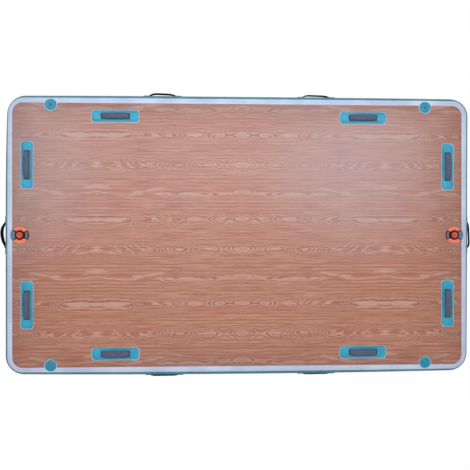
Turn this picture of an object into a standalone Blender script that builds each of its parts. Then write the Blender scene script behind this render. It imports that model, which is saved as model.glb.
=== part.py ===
"""Inflatable dock platform: a drop-stitch air chamber with a foam deck, handles, tie rings and two valves.

Metres, +Z up. The origin is on the ground under the platform's middle, and +X runs along its long side.
"Rear" is +Y, "front" is -Y, "left" is -X and "right" is +X.
"""
import math

import bmesh
import bpy
from mathutils import Vector

# Hull: the outermost line of the side wall, and the flat outer faces of the two skins
HULL_LENGTH = 3.05
HULL_WIDTH = 1.825
HULL_HEIGHT = 0.150
CORNER_RADIUS = 0.125
CORNER_STEPS = 6
# The rim swells out past the flat faces by RAIL_DEPTH, as a superellipse
RAIL_DEPTH = 0.060
RAIL_EXPONENT = 2.3
WALL_FACETS = 6
# Clearance between pieces that touch
GAP = 0.0003
# How far a cutter or a joined piece runs past what it meets
OVERRUN = 0.002
SKIN_THICKNESS = 0.0012
# The skins end where the side wall begins, this far in from the outermost line, under a tape
SEAM_INSET = 0.036
TAPE_INNER_INSET = 0.045
TAPE_OUTER_INSET = 0.026
TAPE_THICKNESS = 0.001
# Drop-stitch core: two woven sheets tied together by yarns, drawn as a field of bundles
SHEET_THICKNESS = 0.001
SHEET_INSET = 0.063
YARN_RADIUS = 0.004
YARN_SIDES = 4
YARN_COLUMNS = 6
YARN_ROWS = 4
YARN_MARGIN = 0.28
# Foam deck
PAD_THICKNESS = 0.005
PAD_EDGE = 0.0015
PAD_CLEARANCE = 0.0015

# Welded patches and webbing, shared by all handles
PATCH_THICKNESS = 0.0012
PATCH_CORNER = 0.018
PATCH_STEPS = 2
WEBBING_WIDTH = 0.038
WEBBING_THICKNESS = 0.0025
POCKET_WALL = 0.001
POCKET_FLOOR = 0.0001
POCKET_MARGIN = 0.007
POCKET_EDGE = 0.0025
# Deck handles: along the long edges, and across the short ends, each inset from the outermost lines
DECK_PATCH_LENGTH = 0.306
DECK_PATCH_WIDTH = 0.081
DECK_SPAN = 0.192
DECK_RISE = 0.020
DECK_LONG_END_INSET = 0.720
DECK_LONG_SIDE_INSET = 0.1455
DECK_SHORT_END_INSET = 0.156
DECK_SHORT_SIDE_INSET = 0.4625
GRIP_LENGTH = 0.179
GRIP_WIDTH = 0.041
GRIP_THICKNESS = 0.011
GRIP_TAPER = 0.004
# Side handles: two on each long side, one on each end, at half height
SIDE_PATCH_LENGTH = 0.254
SIDE_PATCH_HEIGHT = 0.080
SIDE_SPAN = 0.172
SIDE_RISE = 0.022
SIDE_LONG_END_INSET = 1.020
# A strap bows over its span, s from -1 to 1, by (1 - |s| ** first) ** second.
# Its facets meet at the bend shares.
DECK_BOW = (4.0, 1.5)
SIDE_BOW = (2.0, 1.5)
DECK_BEND_SHARES = (0.0, 0.35, 0.62, 0.78, 1.0)
SIDE_BEND_SHARES = (0.0, 0.3, 0.6, 0.85, 1.0)
CHAMFER_SHARE = 0.6

# Tie rings
RING_END_INSET = 0.3055
RING_SIDE_INSET = 0.0725
RING_PATCH_RADIUS = 0.041
RING_PATCH_STEPS = 20
RING_WIRE = 0.0025
RING_SIDES = 6
RING_HALF_WIDTH = 0.015
RING_LEG = 0.010
RING_CORNER = 0.004
RING_CORNER_STEPS = 2
RING_ARC_STEPS = 8
KEEPER_WIDTH = 0.019
KEEPER_WALL = 0.0015
KEEPER_CLEARANCE = 0.0004
KEEPER_FOOT = 0.010
KEEPER_STEPS = 8

# Valves: heights are measured up from the top skin's outer face
VALVE_END_INSET = 0.110
TURN_STEPS = 20
INNER_STEPS = 16
BARREL_RADIUS = 0.0235
BARREL_DEPTH = 0.028
BARREL_CLEARANCE = 0.0005
BORE_RADIUS = 0.0185
FLANGE_RADIUS = 0.0295
FLANGE_THICKNESS = 0.005
FLANGE_EDGE = 0.0015
DECK_RING_RADIUS = 0.0585
DECK_RING_THICKNESS = 0.0015
DECK_RING_STEPS = 24
# Counterbore in the flange, which takes the tether's eye and the cap's head
SINK_RADIUS = 0.0212
SINK_DEPTH = 0.0036
SEAT_RADIUS = 0.014
SEAT_THICKNESS = 0.003
HUB_RADIUS = 0.006
SPOKE_WIDTH = 0.003
SPOKE_INSET = 0.0005
SPOKES = 3
STEM_RADIUS = 0.0025
STEM_CLEARANCE = 0.0004
STEM_SIDES = 10
STEM_TOP_DEPTH = 0.005
STEM_TRAVEL = 0.0045
# What is left of the spring's length when the stem is pushed home
SPRING_PACKED = 0.0055
BUTTON_RADIUS = 0.0075
BUTTON_THICKNESS = 0.003
BUTTON_RIB = 0.002
POPPET_RADIUS = 0.0175
POPPET_THICKNESS = 0.0025
SEAL_WIDTH = 0.0025
SEAL_THICKNESS = 0.0012
SPRING_RADIUS = 0.0044
SPRING_WIRE = 0.0005
SPRING_SIDES = 4
SPRING_TURNS = 2
SPRING_POINTS = 8
# The flat turn at each end climbs by this share of the wire's diameter
SPRING_END_SHARE = 1.5
NUT_RADIUS = 0.033
NUT_FLANGE = 0.0035
NUT_SLEEVE_RADIUS = 0.027
NUT_SLEEVE_DEPTH = 0.014
NUT_NOTCHES = 6
NUT_NOTCH = 0.006
CAP_RADIUS = 0.0205
CAP_HEAD = 0.0038
CAP_RIM = 0.003
CAP_DISH = 0.0022
CAP_SLOPE = 0.0011
CAP_EDGE = 0.0008
CAP_BAR = 0.006
CAP_BAR_DROP = 0.0006
CAP_PLUG_DEPTH = 0.0025
CAP_PLUG_WALL = 0.002
CAP_CLEARANCE = 0.0003
TETHER_THICKNESS = 0.001
TETHER_WIDTH = 0.007
TETHER_REACH = 0.0385
TETHER_EYE = 0.0004
TETHER_NECK = 0.002
TETHER_SLACK = 0.00005
TETHER_BEND_STEPS = 4
NOTCH_CLEARANCE = 0.0006

# Where the fittings sit, measured from the hull's middle
DECK_LONG_X = HULL_LENGTH / 2 - DECK_LONG_END_INSET
DECK_LONG_Y = HULL_WIDTH / 2 - DECK_LONG_SIDE_INSET
DECK_SHORT_X = HULL_LENGTH / 2 - DECK_SHORT_END_INSET
DECK_SHORT_Y = HULL_WIDTH / 2 - DECK_SHORT_SIDE_INSET
SIDE_LONG_X = HULL_LENGTH / 2 - SIDE_LONG_END_INSET
RING_X = HULL_LENGTH / 2 - RING_END_INSET
RING_Y = HULL_WIDTH / 2 - RING_SIDE_INSET
VALVE_X = HULL_LENGTH / 2 - VALVE_END_INSET

# Colours, with roughness and metallic
FINISHES = {
    "white_pvc": ((0.78, 0.79, 0.86), 0.45, 0.0),
    "teal_pvc": ((0.09, 0.38, 0.50), 0.45, 0.0),
    "side_teal": ((0.06, 0.26, 0.32), 0.5, 0.0),
    "wood_foam": ((0.47, 0.23, 0.17), 0.85, 0.0),
    "woven_polyester": ((0.80, 0.80, 0.76), 0.8, 0.0),
    "grey_neoprene": ((0.11, 0.12, 0.17), 0.8, 0.0),
    "black_webbing": ((0.02, 0.025, 0.03), 0.8, 0.0),
    "steel": ((0.65, 0.66, 0.68), 0.25, 1.0),
    "black_plastic": ((0.015, 0.015, 0.018), 0.35, 0.0),
    "orange_foam": ((0.85, 0.22, 0.10), 0.6, 0.0),
    "red_plastic": ((0.80, 0.04, 0.02), 0.25, 0.0),
    "grey_plastic": ((0.30, 0.31, 0.33), 0.4, 0.0),
    "black_rubber": ((0.02, 0.02, 0.02), 0.7, 0.0),
}
SMOOTH_ANGLE = math.radians(35)
MERGE = 0.00001


# Scene and materials

def clear_scene():
    """Empties the file of objects, and makes the part's collection and the cutters'."""
    for obj in list(bpy.data.objects):
        bpy.data.objects.remove(obj, do_unlink=True)
    for name in ("inflatable_dock", "cutters"):
        bpy.context.scene.collection.children.link(bpy.data.collections.new(name))


def material(finish):
    """Returns the Principled material of a named finish, made on its first use."""
    found = bpy.data.materials.get(finish)
    if found:
        return found
    colour, roughness, metallic = FINISHES[finish]
    made = bpy.data.materials.new(finish)
    made.use_nodes = True
    made.diffuse_color = (*colour, 1.0)
    shader = made.node_tree.nodes["Principled BSDF"]
    shader.inputs["Base Color"].default_value = (*colour, 1.0)
    shader.inputs["Roughness"].default_value = roughness
    shader.inputs["Metallic"].default_value = metallic
    return made


def place(mesh, name, finish, location=(0.0, 0.0, 0.0), rotation=(0.0, 0.0, 0.0)):
    """Puts a finished mesh in the part's collection as one named piece."""
    piece = bpy.data.objects.new(name, mesh)
    bpy.data.collections["inflatable_dock"].objects.link(piece)
    piece.location = location
    piece.rotation_euler = rotation
    if not mesh.materials:
        mesh.materials.append(material(finish))
        mesh.shade_smooth()
        mesh.set_sharp_from_angle(angle=SMOOTH_ANGLE)
    return piece


# Modelling helpers, each of which returns a mesh

def mesh_from(bm, name):
    """Closes a bmesh into a named mesh whose faces point out."""
    bmesh.ops.remove_doubles(bm, verts=bm.verts, dist=MERGE)
    bmesh.ops.recalc_face_normals(bm, faces=bm.faces)
    mesh = bpy.data.meshes.new(name)
    bm.to_mesh(mesh)
    bm.free()
    return mesh


def evaluated(obj, name):
    """Returns an object's mesh with its modifiers and its own placing applied, and removes the object."""
    bpy.context.view_layer.update()
    graph = bpy.context.evaluated_depsgraph_get()
    mesh = bpy.data.meshes.new_from_object(obj.evaluated_get(graph))
    mesh.transform(obj.matrix_world)
    mesh.name = name
    bpy.data.objects.remove(obj, do_unlink=True)
    bm = bmesh.new()
    bm.from_mesh(mesh)
    bmesh.ops.remove_doubles(bm, verts=bm.verts, dist=MERGE)
    bmesh.ops.recalc_face_normals(bm, faces=bm.faces)
    bm.to_mesh(mesh)
    bm.free()
    return mesh


def helper_object(data, name):
    """Links mesh or curve data as a hidden helper in the cutters' collection."""
    helper = bpy.data.objects.new(name, data)
    helper.hide_render = True
    helper.display_type = 'WIRE'
    bpy.data.collections["cutters"].objects.link(helper)
    return helper


def combined(mesh, operation, *others):
    """Applies exact Booleans of the same kind, one after another, and returns the result."""
    base = helper_object(mesh, mesh.name)
    tools = []
    for other in others:
        tool = helper_object(other, other.name)
        cut = base.modifiers.new(operation.lower(), 'BOOLEAN')
        cut.operation = operation
        cut.solver = 'EXACT'
        cut.object = tool
        tools.append(tool)
    result = evaluated(base, mesh.name)
    for tool in tools:
        bpy.data.objects.remove(tool, do_unlink=True)
    return result


def loft(name, rings, closed=False):
    """Skins rings of equal counts in order: capped at both ends, or closed from the last to the first."""
    bm = bmesh.new()
    loops = [[bm.verts.new(point) for point in ring] for ring in rings]
    if closed:
        loops.append(loops[0])
    else:
        bm.faces.new(loops[0])
        bm.faces.new(loops[-1])
    for near, far in zip(loops, loops[1:]):
        for i, vertex in enumerate(near):
            bm.faces.new((vertex, near[i - 1], far[i - 1], far[i]))
    return mesh_from(bm, name)


def rounded_outline(length, width, radius, steps):
    """Points round a rectangle with rounded corners, centred on the origin."""
    points = []
    for quarter, (side, end) in enumerate(((1, 1), (-1, 1), (-1, -1), (1, -1))):
        for step in range(steps + 1):
            angle = (quarter + step / steps) * math.pi / 2
            points.append((side * (length / 2 - radius) + radius * math.cos(angle),
                           end * (width / 2 - radius) + radius * math.sin(angle)))
    return points


def circle_outline(radius, steps, centre=(0.0, 0.0)):
    """Points round a circle."""
    return [(centre[0] + radius * math.cos(math.tau * i / steps),
             centre[1] + radius * math.sin(math.tau * i / steps)) for i in range(steps)]


def plate(name, outline, low, high):
    """A flat outline given thickness: a filled 2D curve, extruded from height low to height high."""
    curve = bpy.data.curves.new(name, 'CURVE')
    curve.dimensions = '2D'
    curve.fill_mode = 'BOTH'
    curve.extrude = (high - low) / 2
    spline = curve.splines.new('POLY')
    spline.points.add(len(outline) - 1)
    for point, (x, y) in zip(spline.points, outline):
        point.co = (x, y, 0.0, 1.0)
    spline.use_cyclic_u = True
    drawn = helper_object(curve, name)
    drawn.location.z = (low + high) / 2
    mesh = evaluated(drawn, name)
    bpy.data.curves.remove(curve)
    return mesh


def extruded_section(name, section, start, end):
    """A section of (across, up) points given length along X."""
    return loft(name, [[(x, across, up) for across, up in section] for x in (start, end)])


def box(name, low, high):
    """A box between two corners, from a unit cube."""
    bm = bmesh.new()
    bmesh.ops.create_cube(bm, size=1.0)
    low, high = Vector(low), Vector(high)
    bmesh.ops.scale(bm, vec=high - low, verts=bm.verts)
    bmesh.ops.translate(bm, vec=(low + high) / 2, verts=bm.verts)
    return mesh_from(bm, name)


def turned(name, profile, steps=TURN_STEPS):
    """Turns a profile of (radius, height) points round Z with a Screw modifier."""
    bm = bmesh.new()
    points = [bm.verts.new((radius, 0.0, height)) for radius, height in profile]
    for i, point in enumerate(points):
        if profile[i][0] > 0 or profile[i - 1][0] > 0:
            bm.edges.new((points[i - 1], point))
    mesh = bpy.data.meshes.new(name)
    bm.to_mesh(mesh)
    bm.free()
    spun = helper_object(mesh, name)
    screw = spun.modifiers.new("turn", 'SCREW')
    screw.angle = math.tau
    screw.steps = steps
    screw.render_steps = steps
    screw.use_merge_vertices = True
    screw.merge_threshold = MERGE
    return evaluated(spun, name)


def tube(name, points, radius, sides, closed):
    """A round wire along points: a curve with a bevel and filled caps."""
    curve = bpy.data.curves.new(name, 'CURVE')
    curve.dimensions = '3D'
    curve.bevel_depth = radius
    curve.bevel_resolution = sides // 2 - 2
    curve.use_fill_caps = not closed
    spline = curve.splines.new('POLY')
    spline.points.add(len(points) - 1)
    for point, place_at in zip(spline.points, points):
        point.co = (*place_at, 1.0)
    spline.use_cyclic_u = closed
    drawn = helper_object(curve, name)
    mesh = evaluated(drawn, name)
    bpy.data.curves.remove(curve)
    return mesh


# Hull

def rail_point(angle, depth):
    """The rim's section at an angle from its top (0) to its bottom (pi): how far in, and how high.

    Depth is measured inwards, square to the rim's outer face.
    """
    across = abs(math.sin(angle)) ** (2 / RAIL_EXPONENT)
    rise = math.copysign(abs(math.cos(angle)) ** (2 / RAIL_EXPONENT), math.cos(angle))
    steepness = RAIL_EXPONENT - 1
    normal = Vector((across ** steepness / RAIL_DEPTH,
                     math.copysign(abs(rise) ** steepness, rise) * 2 / HULL_HEIGHT)).normalized()
    inset = RAIL_DEPTH * (1 - across) + depth * normal.x
    return inset, HULL_HEIGHT / 2 * (1 + rise) - depth * normal.y


def rail_angle(inset):
    """The angle on the rim's upper half at which its face lies this far in."""
    return math.asin((1 - inset / RAIL_DEPTH) ** (RAIL_EXPONENT / 2))


def rail_angles(first, last):
    """Both end angles and every shared facet line between them, so that layers stay parallel."""
    tape_end = rail_angle(TAPE_OUTER_INSET)
    shoulder = [rail_angle(TAPE_INNER_INSET), rail_angle(SEAM_INSET)]
    wall = [tape_end + (math.pi - 2 * tape_end) * i / WALL_FACETS for i in range(WALL_FACETS + 1)]
    marks = shoulder + wall + [math.pi - angle for angle in reversed(shoulder)]
    return [first] + [mark for mark in marks if first + MERGE < mark < last - MERGE] + [last]


def hull_ring(inset, height):
    """A level loop round the hull."""
    length, width = HULL_LENGTH - 2 * inset, HULL_WIDTH - 2 * inset
    outline = rounded_outline(length, width, CORNER_RADIUS - inset, CORNER_STEPS)
    return [(x, y, height) for x, y in outline]


def rail_layer(angles, outer, inner):
    """Loops of one layer of the rim: along its outer face, and back along its inner face."""
    faces = [(angle, outer) for angle in angles] + [(angle, inner) for angle in reversed(angles)]
    return [hull_ring(*rail_point(angle, depth)) for angle, depth in faces]


def seam_gap_angle():
    """Half the gap where a skin meets the side wall, as an angle on the rim."""
    return GAP / RAIL_DEPTH


def valve_holes(name, low, high):
    """Cutters for both valves' barrels."""
    outline = circle_outline(BARREL_RADIUS + BARREL_CLEARANCE, TURN_STEPS)
    return [plate(name, [(side * VALVE_X + x, y) for x, y in outline], low, high) for side in (-1, 1)]


def make_hull():
    seam = rail_angle(SEAM_INSET)
    skin_angles = rail_angles(0.0, seam - seam_gap_angle())
    top = loft("top_skin", rail_layer(skin_angles, 0.0, SKIN_THICKNESS))
    holes = valve_holes("skin_hole", HULL_HEIGHT - SKIN_THICKNESS - OVERRUN, HULL_HEIGHT + OVERRUN)
    top = combined(top, 'DIFFERENCE', *holes)
    place(top, "top_skin", "white_pvc")
    below = [math.pi - angle for angle in skin_angles]
    place(loft("bottom_skin", rail_layer(below, 0.0, SKIN_THICKNESS)), "bottom_skin", "white_pvc")
    wall_start = seam + seam_gap_angle()
    wall_angles = rail_angles(wall_start, math.pi - wall_start)
    wall = loft("side_wall", rail_layer(wall_angles, 0.0, SKIN_THICKNESS), closed=True)
    place(wall, "side_wall", "side_teal")
    tape_angles = rail_angles(rail_angle(TAPE_INNER_INSET), rail_angle(TAPE_OUTER_INSET))
    for name, angles in (("top_seam_tape", tape_angles),
                         ("bottom_seam_tape", [math.pi - angle for angle in tape_angles])):
        layer = rail_layer(angles, -GAP - TAPE_THICKNESS, -GAP)
        place(loft(name, layer, closed=True), name, "white_pvc")


def make_core():
    """Both woven sheets and the yarn bundles that hold them level, woven as one piece."""
    under_skin = SKIN_THICKNESS + GAP
    outline = rounded_outline(HULL_LENGTH - 2 * SHEET_INSET, HULL_WIDTH - 2 * SHEET_INSET,
                              CORNER_RADIUS - SHEET_INSET, CORNER_STEPS)
    upper_face = HULL_HEIGHT - under_skin
    upper = plate("drop_stitch_core", outline, upper_face - SHEET_THICKNESS, upper_face)
    lower = plate("lower_sheet", outline, under_skin, under_skin + SHEET_THICKNESS)
    holes = valve_holes("sheet_hole", upper_face - SHEET_THICKNESS - OVERRUN, HULL_HEIGHT)
    upper = combined(upper, 'DIFFERENCE', *holes)
    bm = bmesh.new()
    low, high = under_skin + SHEET_THICKNESS / 2, upper_face - SHEET_THICKNESS / 2
    field_length, field_width = HULL_LENGTH - 2 * YARN_MARGIN, HULL_WIDTH - 2 * YARN_MARGIN
    for column in range(YARN_COLUMNS):
        for row in range(YARN_ROWS):
            made = bmesh.ops.create_cone(bm, cap_ends=True, segments=YARN_SIDES, radius1=YARN_RADIUS,
                                         radius2=YARN_RADIUS, depth=high - low)
            x = field_length * column / (YARN_COLUMNS - 1) - field_length / 2
            y = field_width * row / (YARN_ROWS - 1) - field_width / 2
            bmesh.ops.translate(bm, verts=made["verts"], vec=(x, y, (low + high) / 2))
    yarns = mesh_from(bm, "yarns")
    place(combined(upper, 'UNION', yarns, lower), "drop_stitch_core", "woven_polyester")


def pad_cutouts():
    """Cutters for the openings that the foam leaves round every fitting on the deck."""
    low, high = HULL_HEIGHT - OVERRUN, HULL_HEIGHT + GAP + PAD_THICKNESS + OVERRUN
    cutters = []
    length, width = DECK_PATCH_LENGTH + 2 * PAD_CLEARANCE, DECK_PATCH_WIDTH + 2 * PAD_CLEARANCE
    for x, y, turned_round in deck_handle_places().values():
        size = (width, length) if turned_round else (length, width)
        outline = rounded_outline(*size, PATCH_CORNER + PAD_CLEARANCE, PATCH_STEPS)
        cutters.append(plate("handle_cutout", [(x + u, y + v) for u, v in outline], low, high))
    for side in (-1, 1):
        outline = circle_outline(DECK_RING_RADIUS + PAD_CLEARANCE, DECK_RING_STEPS, (side * VALVE_X, 0.0))
        cutters.append(plate("valve_cutout", outline, low, high))
        for end in (-1, 1):
            outline = circle_outline(RING_PATCH_RADIUS + PAD_CLEARANCE, RING_PATCH_STEPS,
                                     (side * RING_X, end * RING_Y))
            cutters.append(plate("ring_cutout", outline, low, high))
    return cutters


def make_pad():
    """The foam sheet, with its upper edge rounded off and an opening round each fitting."""
    bottom = HULL_HEIGHT + GAP
    top = bottom + PAD_THICKNESS
    rings = [hull_ring(RAIL_DEPTH, bottom), hull_ring(RAIL_DEPTH, top - PAD_EDGE),
             hull_ring(RAIL_DEPTH + PAD_EDGE, top)]
    pad = combined(loft("deck_pad", rings), 'DIFFERENCE', *pad_cutouts())
    place(pad, "deck_pad", "wood_foam")


# Handles: in their own frame, X runs along the strap, Y across it and Z away from the hull

def deck_handle_places():
    """Each deck handle's place, and whether it is turned a quarter round."""
    places = {}
    for end, row in ((1, "rear"), (-1, "front")):
        for side, column in ((-1, "left"), (1, "right")):
            places[f"{row}_{column}"] = (side * DECK_LONG_X, end * DECK_LONG_Y, False)
            places[f"{column}_{row}"] = (side * DECK_SHORT_X, end * DECK_SHORT_Y, True)
    return places


def tab_height(ground):
    """The middle of a strap's end, over the highest part of the ground under its patch."""
    return ground + GAP + PATCH_THICKNESS + POCKET_FLOOR + GAP + WEBBING_THICKNESS / 2


def bow(share, powers):
    """How far a strap has risen, from 0 at its pockets to 1 at its middle."""
    return (1 - abs(share) ** powers[0]) ** powers[1]


def strap_section(middle, tangent, half_width, half_thickness, chamfer):
    """Points round a strap or grip, square to its run: a rectangle, its corners cut by the chamfer."""
    normal = Vector((-tangent.z, 0.0, tangent.x))
    points = []
    for side, end in ((1, 1), (-1, 1), (-1, -1), (1, -1)):
        corner = [(side * half_width, end * (half_thickness - chamfer))]
        if chamfer:
            corner.append((side * (half_width - chamfer), end * half_thickness))
        for across, up in (corner if side == end else reversed(corner)):
            points.append(middle + Vector((0.0, across, 0.0)) + normal * up)
    return points


def strap(name, span, tab_end, rise, powers, bend_shares, ground, grip):
    """A webbing strap, flat in its pockets and bowed up between them, with a padded grip if asked."""
    tab = tab_height(ground)
    half = span / 2
    stations = [share * half for share in bend_shares] + [half + OVERRUN, tab_end]
    if grip:
        stations += [GRIP_LENGTH / 2, GRIP_LENGTH / 2 - GRIP_TAPER]

    def middle(x):
        share = max(-1.0, min(1.0, x / half))
        return Vector((x, 0.0, tab + rise * bow(share, powers)))

    rings = []
    for x in sorted({side * station for station in stations for side in (-1, 1)}):
        tangent = (middle(x + GAP) - middle(x - GAP)).normalized()
        padded = grip and abs(x) < GRIP_LENGTH / 2 - GRIP_TAPER / 2
        width = GRIP_WIDTH if padded else WEBBING_WIDTH
        thickness = GRIP_THICKNESS if padded else WEBBING_THICKNESS
        chamfer = thickness / 2 * CHAMFER_SHARE if grip else 0.0
        rings.append(strap_section(middle(x), tangent, width / 2, thickness / 2, chamfer))
    return loft(name, rings)


def handle_patch(name, length, width, span, floor):
    """A welded patch with a pocket at each end for the strap.

    Floor gives the patch's underside as (across, up) points, and the pockets' tops lie level over it.
    """
    ground = max(up for across, up in floor)
    upper = [(across, up + GAP + PATCH_THICKNESS) for across, up in floor]
    lower = [(across, up + GAP) for across, up in floor]
    band = extruded_section(name, lower + list(reversed(upper)), -length / 2, length / 2)
    high, low = ground + PATCH_THICKNESS + OVERRUN, min(up for across, up in floor) - OVERRUN
    trim = plate("patch_trim", rounded_outline(length, width, PATCH_CORNER, PATCH_STEPS), low, high)
    patch = combined(band, 'INTERSECT', trim)
    slot_low = ground + GAP + PATCH_THICKNESS + POCKET_FLOOR
    slot_high = slot_low + WEBBING_THICKNESS + 2 * GAP
    pocket_top = slot_high + POCKET_WALL
    pocket_end = length / 2 - POCKET_MARGIN
    half = WEBBING_WIDTH / 2 + POCKET_MARGIN
    base = [(across, up - PATCH_THICKNESS / 2) for across, up in upper if abs(across) < half - MERGE]
    edge = interpolated(upper, half) - PATCH_THICKNESS / 2
    base = [(-half, edge)] + base + [(half, edge)]
    crown = [(half, pocket_top - POCKET_EDGE), (half - POCKET_EDGE, pocket_top),
             (-half + POCKET_EDGE, pocket_top), (-half, pocket_top - POCKET_EDGE)]
    slots, pockets = [], []
    for side in (-1, 1):
        ends = sorted((side * span / 2, side * pocket_end))
        pockets.append(extruded_section("pocket", base + crown, *ends))
        slot_ends = sorted((side * (span / 2 - OVERRUN), side * (pocket_end - POCKET_WALL)))
        slots.append(box("slot", (slot_ends[0], -WEBBING_WIDTH / 2 - GAP, slot_low),
                         (slot_ends[1], WEBBING_WIDTH / 2 + GAP, slot_high)))
    return combined(combined(patch, 'UNION', *pockets), 'DIFFERENCE', *slots)


def interpolated(points, across):
    """The height of a symmetric line of points at a distance from its middle."""
    for (near, near_up), (far, far_up) in zip(points, points[1:]):
        if near <= across <= far:
            return near_up + (far_up - near_up) * (across - near) / (far - near)
    return points[-1][1]


def make_deck_handles():
    floor = [(-DECK_PATCH_WIDTH / 2 - OVERRUN, 0.0), (DECK_PATCH_WIDTH / 2 + OVERRUN, 0.0)]
    patch = handle_patch("deck_patch", DECK_PATCH_LENGTH, DECK_PATCH_WIDTH, DECK_SPAN, floor)
    tab_end = DECK_PATCH_LENGTH / 2 - POCKET_MARGIN - POCKET_WALL - GAP
    band = strap("deck_strap", DECK_SPAN, tab_end, DECK_RISE, DECK_BOW, DECK_BEND_SHARES, 0.0, grip=True)
    for spot, (x, y, turned_round) in deck_handle_places().items():
        turn = (0.0, 0.0, math.pi / 2 if turned_round else 0.0)
        place(patch, f"deck_handle_patch_{spot}", "teal_pvc", (x, y, HULL_HEIGHT), turn)
        place(band, f"deck_handle_strap_{spot}", "grey_neoprene", (x, y, HULL_HEIGHT), turn)


def side_handle_places():
    """Each side handle's place on the wall's outermost line, and its turn round Z."""
    places = {"right": (HULL_LENGTH / 2, 0.0, math.pi / 2), "left": (-HULL_LENGTH / 2, 0.0, -math.pi / 2)}
    for side, column in ((-1, "left"), (1, "right")):
        places[f"front_{column}"] = (side * SIDE_LONG_X, -HULL_WIDTH / 2, 0.0)
        places[f"rear_{column}"] = (side * SIDE_LONG_X, HULL_WIDTH / 2, math.pi)
    return places


def make_side_handles():
    """The patch follows the wall's bulge; the strap's ends lie flat over its middle."""
    reach = math.acos((SIDE_PATCH_HEIGHT / HULL_HEIGHT) ** (RAIL_EXPONENT / 2))
    floor = []
    for angle in rail_angles(reach, math.pi - reach):
        inset, height = rail_point(angle, 0.0)
        floor.append((HULL_HEIGHT / 2 - height, -inset))
    patch = handle_patch("side_patch", SIDE_PATCH_LENGTH, SIDE_PATCH_HEIGHT, SIDE_SPAN, floor)
    tab_end = SIDE_PATCH_LENGTH / 2 - POCKET_MARGIN - POCKET_WALL - GAP
    ground = max(up for across, up in floor)
    band = strap("side_strap", SIDE_SPAN, tab_end, SIDE_RISE, SIDE_BOW, SIDE_BEND_SHARES, ground, grip=False)
    for spot, (x, y, turn) in side_handle_places().items():
        upright = (math.pi / 2, 0.0, turn)
        place(patch, f"side_handle_patch_{spot}", "side_teal", (x, y, HULL_HEIGHT / 2), upright)
        place(band, f"side_handle_strap_{spot}", "black_webbing", (x, y, HULL_HEIGHT / 2), upright)


# Tie rings: in their own frame, the origin is on the ring's bar, Y points out over the hull's edge

def ring_axis_height():
    """The ring's bar, up from the top skin's outer face."""
    return GAP + PATCH_THICKNESS + GAP + KEEPER_CLEARANCE + RING_WIRE


def ring_path():
    """The ring's middle line: a straight bar, two legs and a half circle, lying towards the deck."""
    half = RING_HALF_WIDTH
    points = []
    for step in range(RING_CORNER_STEPS + 1):
        angle = math.pi / 2 * step / RING_CORNER_STEPS
        points.append((half - RING_CORNER + RING_CORNER * math.sin(angle),
                       -RING_CORNER + RING_CORNER * math.cos(angle), 0.0))
    for step in range(RING_ARC_STEPS + 1):
        angle = math.pi * step / RING_ARC_STEPS
        points.append((half * math.cos(angle), -RING_LEG - half * math.sin(angle), 0.0))
    points += [(-x, y, z) for x, y, z in reversed(points[:RING_CORNER_STEPS + 1])]
    return points


def ring_patch():
    """A round patch that drapes over the rim, with the keeper that holds the ring's bar."""
    drop = ring_axis_height()
    over_tape = -2 * GAP - TAPE_THICKNESS
    ground = [(-RING_PATCH_RADIUS - OVERRUN, GAP)]
    for angle in rail_angles(rail_angle(TAPE_INNER_INSET), rail_angle(TAPE_OUTER_INSET)):
        inset, height = rail_point(angle, over_tape)
        ground.append((RING_SIDE_INSET - inset, min(GAP, height - HULL_HEIGHT)))
    upper = [(across, up + PATCH_THICKNESS) for across, up in ground]
    section = [(across, up - drop) for across, up in ground + list(reversed(upper))]
    reach = RING_PATCH_RADIUS + OVERRUN
    band = extruded_section("ring_patch", section, -reach, reach)
    trim = plate("ring_trim", circle_outline(RING_PATCH_RADIUS, RING_PATCH_STEPS), -HULL_HEIGHT / 2, OVERRUN)
    disc = combined(band, 'INTERSECT', trim)
    inner = RING_WIRE + KEEPER_CLEARANCE
    outer = inner + KEEPER_WALL
    sunk = GAP + PATCH_THICKNESS / 2 - drop
    foot = GAP + PATCH_THICKNESS + KEEPER_WALL - drop
    arch = [(outer * math.cos(math.pi * i / KEEPER_STEPS), outer * math.sin(math.pi * i / KEEPER_STEPS))
            for i in range(KEEPER_STEPS + 1)]
    outline = [(-KEEPER_FOOT, sunk), (KEEPER_FOOT, sunk), (KEEPER_FOOT, foot), (outer, foot)]
    outline += arch + [(-outer, foot), (-KEEPER_FOOT, foot)]
    keeper = extruded_section("keeper", outline, -KEEPER_WIDTH / 2, KEEPER_WIDTH / 2)
    bore = [(inner * math.cos(math.tau * i / KEEPER_STEPS), inner * math.sin(math.tau * i / KEEPER_STEPS))
            for i in range(KEEPER_STEPS)]
    reach = KEEPER_WIDTH / 2 + OVERRUN
    eye = extruded_section("keeper_eye", bore, -reach, reach)
    return combined(combined(disc, 'UNION', keeper), 'DIFFERENCE', eye)


def make_tie_rings():
    patch = ring_patch()
    ring = tube("d_ring", ring_path(), RING_WIRE, RING_SIDES, closed=True)
    for end, row in ((1, "rear"), (-1, "front")):
        for side, column in ((-1, "left"), (1, "right")):
            spot = (side * RING_X, end * RING_Y, HULL_HEIGHT + ring_axis_height())
            turn = (0.0, 0.0, 0.0 if end > 0 else math.pi)
            place(patch, f"tie_ring_patch_{row}_{column}", "teal_pvc", spot, turn)
            place(ring, f"tie_ring_{row}_{column}", "steel", spot, turn)


# Valves: in their own frame, Z is the valve's axis and the top skin's outer face is at height 0

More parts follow.
